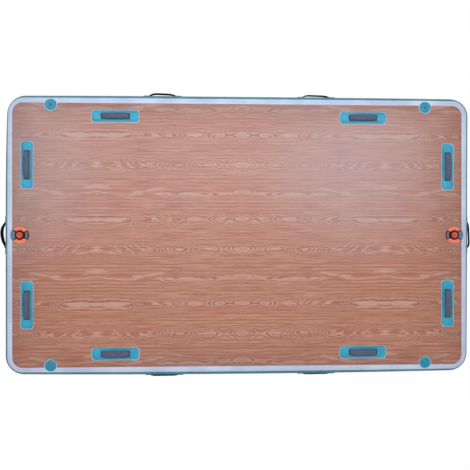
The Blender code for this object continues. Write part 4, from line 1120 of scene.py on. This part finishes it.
def grip_seams():
    """Two rows of stitches along the grip's bound edges, and one across each end."""
    bm = bmesh.new()
    for side in (-1, 1):
        line = []
        for x in spread(GRIP_LENGTH / 2 - BINDING, SEAM_STEPS):
            line.append((x, side * (grip_width(x) - BINDING) / 2, grip_middle(x).z + BINDING_HALF))
        stitch_row(bm, line)
        x = side * (GRIP_LENGTH - BINDING) / 2
        across = (grip_width(x) - BINDING) / 2
        top = grip_middle(x).z + GRIP_END_THICKNESS / 2 + GAP
        stitch_row(bm, [(x, y * across, top - END_DROP * abs(y)) for y in spread(1.0, 4)])
    return mesh_from(bm, "deck_grip_stitches")


def pocket_seams(bm, surface, inner, outer):
    """Stitches beside the pocket's mouth and round its raised part."""
    side = copysign(1, outer)
    reach = POCKET_HALF + SEAM_OUT
    hem, end = inner + side * SEAM_HEM, outer - side * SEAM_END
    lines = [[(hem, y) for y in spread(reach, HEM_STEPS)]]
    lines += [[(hem + (end - hem) * share, across) for share in shares(12)] for across in (-reach, reach)]
    lines.append([(end, y) for y in spread(reach - SEAM_SHORT, HEM_STEPS)])
    for line in lines:
        stitch_row(bm, [(x, y, surface(x, y)) for x, y in line])


def handle_meshes(prefix, length, width, span, tab_end, ground, press=1.0):
    """A patch, its two pockets and their stitches, pressed to a share of their height over the ground."""
    patch = patch_mesh(prefix + "_patch", length, width, ground)
    pockets, seams = bmesh.new(), bmesh.new()
    for side in (-1, 1):
        inner, outer = side * (span / 2 - MOUTH_LAP), side * (tab_end + POCKET_END_MARGIN + POCKET_TAIL)
        pocket_seams(seams, pocket_sheet(pockets, inner, outer, ground), inner, outer)
    meshes = patch, mesh_from(pockets, prefix + "_pockets"), mesh_from(seams, prefix + "_stitches")
    for vertex in [vertex for mesh in meshes for vertex in mesh.vertices]:
        floor = ground(vertex.co.x, vertex.co.y)
        vertex.co.z = floor + (vertex.co.z - floor) * press
    return meshes


def make_deck_handles():
    patches = fitting_boxes("deck_handle_patch_")
    length, width = [reach - 2 * PATCH_TRIM for reach in patches["rear_left"][1].xy]
    patch, pockets, seams = handle_meshes("deck_handle", length, width, DECK_SPAN, TAB_END, flat_ground)
    strap = webbing_mesh("deck_handle_strap", DECK_SPAN, DECK_RISE, DECK_BOW, TAB_END)
    grip, thread = grip_mesh(), grip_seams()
    for spot, (middle, size) in patches.items():
        place = on_deck(middle, pi / 2 if size.y > size.x else 0.0)
        piece(f"deck_patch_{spot}", patch, "teal_pvc", f"deck_handle_patch_{spot}", place)
        piece(f"deck_pockets_{spot}", pockets, "pocket_teal", place=place)
        piece(f"deck_webbing_{spot}", strap, "grey_webbing", f"deck_handle_strap_{spot}", place)
        padded = piece(f"deck_grip_{spot}", grip, "grey_neoprene", place=place)
        piece(f"deck_pocket_stitches_{spot}", seams, "thread", place=place)
        piece(f"deck_grip_stitches_{spot}", thread, "dark_thread", place=place)


def side_handle_places():
    """Each side handle's frame: on the wall's outermost line at half height, Z facing out."""
    places = {}
    for spot, (middle, size) in fitting_boxes("side_handle_patch_").items():
        if size.y > size.x:
            turn, at = copysign(pi / 2, middle.x), (copysign(HULL_HALF.x, middle.x), middle.y)
        else:
            turn, at = (pi if middle.y > 0 else 0.0), (middle.x, copysign(HULL_HALF.y, middle.y))
        upright = Matrix.Rotation(turn, 4, 'Z') @ Matrix.Rotation(pi / 2, 4, 'X')
        places[spot] = Matrix.Translation((*at, HULL_HEIGHT / 2)) @ upright
    return places


def make_side_handles():
    size = fitting_boxes("side_handle_patch_")["front_left"][1]
    patch, pockets, seams = handle_meshes("side_handle", size.x, size.z, SIDE_SPAN, SIDE_TAB_END, wall_ground,
                                         SIDE_PRESS)
    for spot, place in side_handle_places().items():
        rise, lean, powers, tilt, shift = SIDE_HANGS[spot]
        strap = webbing_mesh("side_handle_strap", SIDE_SPAN, rise, powers, SIDE_TAB_END, radians(lean), tilt,
                             TAB_MIDDLE * SIDE_PRESS, SIDE_WEBBING)
        place = place @ Matrix.Translation((shift, 0.0, 0.0))
        piece(f"side_patch_{spot}", patch, "side_teal", f"side_handle_patch_{spot}", place, on_rim=True)
        piece(f"side_pockets_{spot}", pockets, "side_teal", place=place, on_rim=True)
        piece(f"side_webbing_{spot}", strap, "black_webbing", f"side_handle_strap_{spot}", place, on_rim=True)
        piece(f"side_pocket_stitches_{spot}", seams, "dark_thread", place=place,
              on_rim=True)


# Tie rings: in their own frame, the origin is on the skin under the ring's bar, Y points over the hull's edge

def rim_ground(side_inset):
    """The ground under a tie ring's patch: flat, then over the tape and down the rim."""
    def ground(x, y):
        inset = side_inset - y
        level = max(1 - inset / RIM_DEPTH, 0.0) ** RIM_POWER
        drop = HULL_HEIGHT / 2 * (1 - (1 - level) ** (1 / RIM_POWER))
        tape = smooth_share(TAPE_INNER_INSET + TAPE_RAMP - inset, 0.0, TAPE_RAMP) * (TAPE + GAP)
        return tape - drop
    return ground


def ring_patch_mesh(ground):
    """The round patch with its raised rim, draped over the hull's edge."""
    radius = RING_PATCH_RADIUS - RING_PATCH_TRIM
    levels = [(circle((0.0, 0.0), radius * share, ROUND_STEPS), height)
              for share, height in RING_PATCH_LEVELS]
    return draped("ring_patch", levels, ground)


def keeper_mesh(axis_height):
    """The welded loop that holds the ring's bar: two feet and an arch."""
    base = GAP + PATCH - KEEPER_SINK
    axis = Vector((0.0, axis_height))
    foot = [(KEEPER_FOOT, base), (KEEPER_FOOT, base + KEEPER_WALL * 0.3),
            (KEEPER_FOOT - KEEPER_TOE, base + KEEPER_WALL * 0.8)]
    outside = [(-y, z) for y, z in foot] + arc(axis, KEEPER_INNER + KEEPER_WALL, pi, -pi, 24) + foot[::-1]
    inside = [(KEEPER_INNER, base), *arc(axis, KEEPER_INNER, 0.0, pi, 24), (-KEEPER_INNER, base)]
    half = KEEPER_WIDTH / 2
    flat = half - KEEPER_EDGE
    rings = []
    for x, shrink in ((-half, KEEPER_EDGE), (-flat, 0.0), (flat, 0.0), (half, KEEPER_EDGE)):
        ring = []
        for y, z in outside:
            pull = (Vector((y, z)) - axis).normalized() * shrink
            ring.append((x, y - pull.x, max(z - pull.y, base)))
        rings.append(ring + [(x, y, max(z, base)) for y, z in inside])
    return loft("ring_keeper", rings)


def ring_points():
    """The D-ring's middle line: a bar, two legs and a half circle towards the deck."""
    corner = arc((RING_HALF_WIDTH - RING_CORNER, -RING_CORNER), RING_CORNER, pi / 2, -pi / 2, 6)
    half_circle = arc((0.0, -RING_LEG), RING_HALF_WIDTH, 0.0, -pi, 36)
    return [(x, y, 0.0) for x, y in corner + half_circle + [(-x, y) for x, y in reversed(corner)]]


def make_tie_rings():
    patches = fitting_boxes("tie_ring_patch_")
    bar_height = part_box("tie_ring_rear_left")[0].z + RING_WIRE - HULL_HEIGHT
    patch = ring_patch_mesh(rim_ground(HULL_HALF.y - patches["rear_left"][0].y))
    keeper = keeper_mesh(bar_height)
    wire = tube("d_ring_wire", ring_points(), RING_WIRE, closed=True)
    for spot, (middle, _) in patches.items():
        place = on_deck(middle, 0.0 if middle.y > 0 else pi)
        piece(f"ring_patch_{spot}", patch, "ring_teal", f"tie_ring_patch_{spot}", place,
              on_rim=True)
        piece(f"ring_keeper_{spot}", keeper, "ring_teal", place=place)
        piece(f"d_ring_{spot}", wire, "steel", f"tie_ring_{spot}",
              place @ Matrix.Translation((0.0, 0.0, bar_height)), body=f"ring_{spot}")


# Valves: in their own frame, Z is the axis and the top skin's outer face is at height 0

DISC_LOW, DISC_HIGH, DISC_BORE = GAP, 0.0018, 0.0242
TETHER_LOW, TETHER_HIGH = 0.0021, 0.0031
TETHER_REACH, TETHER_WIDTH, TETHER = 0.0385, 0.007, 0.00095
ANCHOR_INNER, ANCHOR_OUTER = 0.024, 0.028
FLANGE_LOW, FLANGE_HIGH, FLANGE_RADIUS = 0.0034, 0.0084, 0.0295
GRIP_NOTCHES, GRIP_NOTCH, GRIP_NOTCH_DEPTH, GRIP_NOTCH_OUT = 12, 0.0018, 0.0028, 0.0008
DISC_EDGE, BODY_EDGE, TETHER_EDGE = 0.0006, 0.0012, 0.0003
TETHER_ROOM, CHANNEL_LIFT, CHANNEL_TOP, CUT_OVER = 0.0006, 0.00005, 0.012, 0.002
SINK_FLOOR, SINK_RADIUS = 0.0048, 0.0212
BARREL_RADIUS, BARREL_DEPTH, BORE_RADIUS, SEAT_RADIUS, SEAT = 0.0235, 0.028, 0.0185, 0.014, 0.003
HUB_BORE, HUB_RADIUS, HUB_TOP = 0.0029, 0.006, -0.018
SPOKES, SPOKE_HALF, SPOKE_INSET = 3, 0.0015, 0.0005
SPOKE_START, SPOKE_END = 0.0045, 0.0150
EYE_LOW, EYE_HIGH, EYE_INNER, EYE_OUTER = 0.0051, 0.0061, 0.0186, 0.0206
TETHER_END, TETHER_BACK = 0.0262, 0.0005
VALVE_STEPS, HUB_STEPS, TETHER_STEPS, BEND_STEPS, BITE_STEPS = 96, 48, 64, 16, 24
CAP_LOW, CAP_HIGH, CAP_RADIUS = 0.0064, 0.0102, 0.0205
CAP_PLUG_LOW, CAP_PLUG_RADIUS, CAP_PLUG_WALL = -0.0025, 0.0182, 0.002
CAP_DISH, CAP_RIM, CAP_MIDDLE = 0.0022, 0.003, 0.0008
CAP_KNURLS, CAP_KNURL = 30, 0.00035
CAP_BAR, CAP_BAR_OVER, CAP_BAR_ROOT, CAP_BAR_DROP, CAP_BAR_EDGE = 0.006, 0.0006, 0.001, 0.0006, 0.0009
CAP_BAR_WAIST, CAP_BAR_TAPER = 0.28, 0.8
SPRING_WIRE = 0.0005
SPRING_TURNS = 4
SPRING_STEPS = 24   # to a turn
SPRING_LEAD = 0.0015   # how far the first and the last turn climb


def valve_disc_mesh():
    """The foam disc on the deck, its edges rounded."""
    profile = rounded(rectangle(DISC_BORE, RING_OUTER, DISC_LOW, DISC_HIGH), DISC_EDGE)
    return loft("valve_disc", turned(profile, VALVE_STEPS), closed=True)


def valve_body_mesh():
    """The black insert: a rounded flange with grip notches, its barrel and seat, and the tether's notch."""
    profile = [(SINK_RADIUS, FLANGE_HIGH), (FLANGE_RADIUS, FLANGE_HIGH), (FLANGE_RADIUS, FLANGE_LOW),
               (BARREL_RADIUS, FLANGE_LOW), (BARREL_RADIUS, -BARREL_DEPTH), (SEAT_RADIUS, -BARREL_DEPTH),
               (SEAT_RADIUS, SEAT - BARREL_DEPTH), (BORE_RADIUS, SEAT - BARREL_DEPTH),
               (BORE_RADIUS, SINK_FLOOR), (SINK_RADIUS, SINK_FLOOR)]
    body = loft("valve_insert", turned(rounded(profile, BODY_EDGE), VALVE_STEPS), closed=True)
    half = TETHER_WIDTH / 2 + TETHER_ROOM
    channel = rectangle(BORE_RADIUS + GAP, FLANGE_RADIUS + CUT_OVER, -half, half)
    cutters = [prism(channel, SINK_FLOOR + CHANNEL_LIFT, CHANNEL_TOP)]
    reach = FLANGE_RADIUS + GRIP_NOTCH_OUT
    for i in range(GRIP_NOTCHES):
        angle = tau * (i + 0.5) / GRIP_NOTCHES
        bite = circle((reach * cos(angle), reach * sin(angle)), GRIP_NOTCH, BITE_STEPS)
        cutters.append(prism(bite, FLANGE_HIGH - GRIP_NOTCH_DEPTH, FLANGE_HIGH + CUT_OVER))
    return cut(body, *cutters)


def valve_hub_mesh():
    """The hub in the seat that guides the stem, and its three spokes."""
    bm = bmesh.new()
    skin_rings(bm, turned(rectangle(HUB_BORE, HUB_RADIUS, HUB_TOP, -BARREL_DEPTH), HUB_STEPS), closed=True)
    spoke = prism(rectangle(SPOKE_START, SPOKE_END, -SPOKE_HALF, SPOKE_HALF), SPOKE_INSET - BARREL_DEPTH,
                  SEAT - SPOKE_INSET - BARREL_DEPTH)
    for turn in range(SPOKES):
        bm.from_mesh(spoke)
        spoke.transform(Matrix.Rotation(tau / SPOKES, 4, 'Z'))
    return mesh_from(bm, "valve_hub")


def valve_cap_mesh():
    """The cap: a dished head with a soft rim and a knurled edge, over its plug."""
    dish, rim, plug = CAP_HIGH - CAP_DISH, CAP_RADIUS - CAP_RIM, CAP_PLUG_RADIUS - CAP_PLUG_WALL
    profile = [(CAP_MIDDLE, dish), (rim - 0.0008, dish), (rim, dish + 0.0003),
               (rim + 0.0008, CAP_HIGH - 0.0003), (rim + 0.0014, CAP_HIGH), (CAP_RADIUS - 0.0008, CAP_HIGH),
               (CAP_RADIUS - 0.0002, CAP_HIGH - 0.0004), (CAP_RADIUS, CAP_HIGH - 0.0010),
               (CAP_RADIUS, CAP_LOW + 0.0003), (CAP_RADIUS - 0.0003, CAP_LOW), (CAP_PLUG_RADIUS, CAP_LOW),
               (CAP_PLUG_RADIUS, CAP_PLUG_LOW), (plug, CAP_PLUG_LOW), (plug, CAP_LOW),
               (CAP_MIDDLE, CAP_LOW)]
    steps = 4 * CAP_KNURLS
    rings = []
    for radius, height in profile:
        ring = []
        for i in range(steps):
            bite = CAP_KNURL if i % 4 < 2 and radius > CAP_RADIUS - 0.0005 else 0.0
            angle = tau * i / steps
            ring.append(((radius - bite) * cos(angle), (radius - bite) * sin(angle), height))
        rings.append(ring)
    return loft("valve_cap_head", rings)


def cap_bar_mesh():
    """The bar across the cap's dish that a thumb turns it by: waisted, with rounded edges."""
    reach = CAP_RADIUS - CAP_RIM + CAP_BAR_OVER
    low, high = CAP_LOW + CAP_BAR_ROOT, CAP_HIGH - CAP_BAR_DROP
    rings = []
    for x in spread(reach, 24):
        half = CAP_BAR / 2 * (1 - CAP_BAR_WAIST + CAP_BAR_WAIST * (x / reach) ** 2)
        top = half * CAP_BAR_TAPER
        section = rounded([(-half, low), (half, low), (top, high), (-top, high)], CAP_BAR_EDGE)
        rings.append([(x, y, z) for y, z in section])
    return loft("valve_cap_bar", rings)


def tether_mesh():
    """The rubber tether: an anchor ring under the flange, a doubled strap and the eye round the cap."""
    bm = bmesh.new()
    anchor = rectangle(ANCHOR_INNER, ANCHOR_OUTER, TETHER_LOW, TETHER_HIGH)
    for section in (anchor, rectangle(EYE_INNER, EYE_OUTER, EYE_LOW, EYE_HIGH)):
        skin_rings(bm, turned(rounded(section, TETHER_EDGE, 2), TETHER_STEPS), closed=True)
    upper, lower = (EYE_LOW + EYE_HIGH) / 2, (TETHER_LOW + TETHER_HIGH) / 2
    bend = (upper - lower) / 2
    turn_x = TETHER_REACH - bend - TETHER_BACK
    start_x, end_x = (EYE_INNER + EYE_OUTER) / 2, TETHER_END
    path = [(start_x + (turn_x - start_x) * share, upper) for share in shares(BEND_STEPS)[:-1]]
    path += arc((turn_x, lower + bend), bend, pi / 2, -pi, BEND_STEPS)
    path += [(turn_x - (turn_x - end_x) * share, lower) for share in shares(12)[1:]]
    rings = []
    profile = webbing_profile(TETHER_WIDTH, TETHER)
    for i, (x, z) in enumerate(path):
        before, after = path[max(i - 1, 0)], path[min(i + 1, len(path) - 1)]
        run = Vector((after[0] - before[0], 0.0, after[1] - before[1])).normalized()
        rings.append(band_ring(Vector((x, 0.0, z)), run, profile))
    skin_rings(bm, rings)
    return mesh_from(bm, "valve_tether")


def make_valves():
    disc, body, hub = valve_disc_mesh(), valve_body_mesh(), valve_hub_mesh()
    cap, bar, tether = valve_cap_mesh(), cap_bar_mesh(), tether_mesh()
    for spot, place in valve_places().items():
        piece(f"valve_disc_{spot}", disc, "orange_foam", f"valve_deck_ring_{spot}", place)
        piece(f"valve_insert_{spot}", body, "black_plastic", f"valve_body_{spot}", place)
        piece(f"valve_hub_{spot}", hub, "black_plastic", place=place)
        piece(f"valve_cap_head_{spot}", cap, "red_plastic", f"valve_cap_{spot}", place, f"cap_{spot}")
        piece(f"valve_cap_bar_{spot}", bar, "red_plastic", place=place, body=f"cap_{spot}")
        mesh = tether.copy()
        mesh.transform(place)
        strap = bent_piece(f"valve_tether_{spot}", mesh, "black_rubber", f"valve_cap_tether_{spot}")
        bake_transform(strap)


def make_springs():
    """Each valve's spring: one wire wound between hub and button, which shortens as the stem goes down."""
    for spot in ("left", "right"):
        low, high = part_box(f"valve_spring_{spot}")
        middle = (low + high) / 2
        radius = (high.x - low.x) / 2 - SPRING_WIRE
        bottom, top = low.z + SPRING_WIRE, high.z - SPRING_WIRE
        rise = (top - bottom - 2 * SPRING_LEAD) / (SPRING_TURNS - 2)
        points = []
        for i, (x, y) in enumerate(arc(middle, radius, 0.0, tau * SPRING_TURNS, SPRING_TURNS * SPRING_STEPS)):
            turn = i / SPRING_STEPS
            inner = min(max(turn - 1, 0.0), SPRING_TURNS - 2)
            points.append((x, y, bottom + SPRING_LEAD * (turn - inner) + rise * inner))
        wire = tube("stem_spring", points, SPRING_WIRE, sides=10)
        spring = bent_piece(f"stem_spring_{spot}", wire, "steel", f"valve_spring_{spot}")
        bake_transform(spring)


def dress_cad_nodes():
    """Gives the CAD nodes that stay their procedural materials."""
    finishes = {"drop_stitch_core": "woven_polyester"}
    for spot in ("left", "right"):
        finishes.update({f"valve_base_nut_{spot}": "grey_plastic", f"valve_stem_{spot}": "grey_plastic",
                         f"valve_seal_{spot}": "black_rubber"})
    for name, finish in finishes.items():
        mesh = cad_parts[name].data
        mesh.materials.clear()
        mesh.materials.append(MATERIALS[finish])


# Camera, light and floor

# The camera looks down from this place, turned by these angles; its lens and sensor are in millimetres
CAMERA_PLACE = (-0.2365, 0.0032, 4.6097)
CAMERA_TILT = (radians(-0.041), radians(-2.607), radians(-0.009))
CAMERA_LENS = 52.58
CAMERA_SENSOR = 36.0
# Soft lamps: place, what they are aimed at, size, watts, colour
PANELS = {
    "rear_left_panel": ((-0.85, 1.25, 4.4), (-0.4, 0.3, 0.15), 1.7, 64.0, (0.84, 0.94, 1.0)),
    "rear_right_panel": ((0.60, 1.25, 4.4), (0.4, 0.3, 0.15), 1.7, 60.0, (0.84, 0.94, 1.0)),
    "front_panel": ((0.2, -3.8, 1.5), (0.0, -0.8, 0.15), 2.4, 7.0, (1.0, 0.96, 0.94))}
WORLD_COLOUR = (0.93, 0.89, 0.90, 1.0)
WORLD_STRENGTH = 0.5
FLOOR_REACH = 30.0
FLOOR_SHADES = ((0.85, 0.85, 0.85, 1.0), (0.88, 0.88, 0.88, 1.0))
WHITE = (1.0, 1.0, 1.0, 1.0)


def make_camera():
    data = bpy.data.cameras.new("camera")
    data.lens = CAMERA_LENS
    data.sensor_width = CAMERA_SENSOR
    data.clip_end = 100.0
    camera = add("camera", data)
    pitch, yaw, roll = CAMERA_TILT
    turn = Matrix.Rotation(yaw, 4, 'Y') @ Matrix.Rotation(pitch, 4, 'X') @ Matrix.Rotation(roll, 4, 'Z')
    camera.matrix_world = Matrix.Translation(CAMERA_PLACE) @ turn
    bpy.context.scene.camera = camera


def make_light():
    for name, (place, target, size, power, colour) in PANELS.items():
        data = bpy.data.lights.new(name, 'AREA')
        data.shape = 'SQUARE'
        data.size = size
        data.energy = power
        data.color = colour
        light = add(name, data)
        light.location = place
        light.rotation_euler = (Vector(target) - Vector(place)).to_track_quat('-Z', 'Y').to_euler()
        light.visible_camera = False
    world = bpy.data.worlds.new("studio")
    bpy.context.scene.world = world
    world.use_nodes = True
    background = world.node_tree.nodes["Background"]
    rays = node(world.node_tree, "LightPath")
    seen = maths('MAXIMUM', Field(rays, "Is Camera Ray"),
                 maths('MAXIMUM', Field(rays, "Is Glossy Ray"), Field(rays, "Is Transmission Ray")))
    feed(background.inputs["Color"], mix(seen, WORLD_COLOUR, WHITE))
    feed(background.inputs["Strength"], smooth_step(seen, 0.0, 1.0, WORLD_STRENGTH, 1.0))


def make_floor():
    """A pale floor that reads white to the camera."""
    made, shader, (vector, *_) = new_material("studio_floor", (0.86, 0.86, 0.86, 1.0), 0.9)
    tree = made.node_tree
    coat(shader, colour=mix(noise(vector, 3.0, 2.0), *FLOOR_SHADES))
    glow = node(tree, "Emission", {"Color": WHITE, "Strength": 1.0})
    seen = Field(node(tree, "LightPath"), "Is Camera Ray")
    mixed = node(tree, "MixShader", {0: seen, 1: Field(shader), 2: Field(glow)})
    feed(tree.nodes["Material Output"].inputs["Surface"], Field(mixed))
    bm = bmesh.new()
    bmesh.ops.create_grid(bm, x_segments=2, y_segments=2, size=FLOOR_REACH)
    mesh = bpy.data.meshes.new("studio_floor")
    bm.to_mesh(mesh)
    bm.free()
    mesh.materials.append(made)
    floor = add("studio_floor", mesh)


make_camera()
make_light()
make_floor()
make_hull()
make_pad()
make_deck_handles()
make_side_handles()
make_tie_rings()
make_valves()
make_springs()
dress_cad_nodes()
bpy.context.scene.view_settings.view_transform = 'Standard'

bpy.context.view_layer.update()
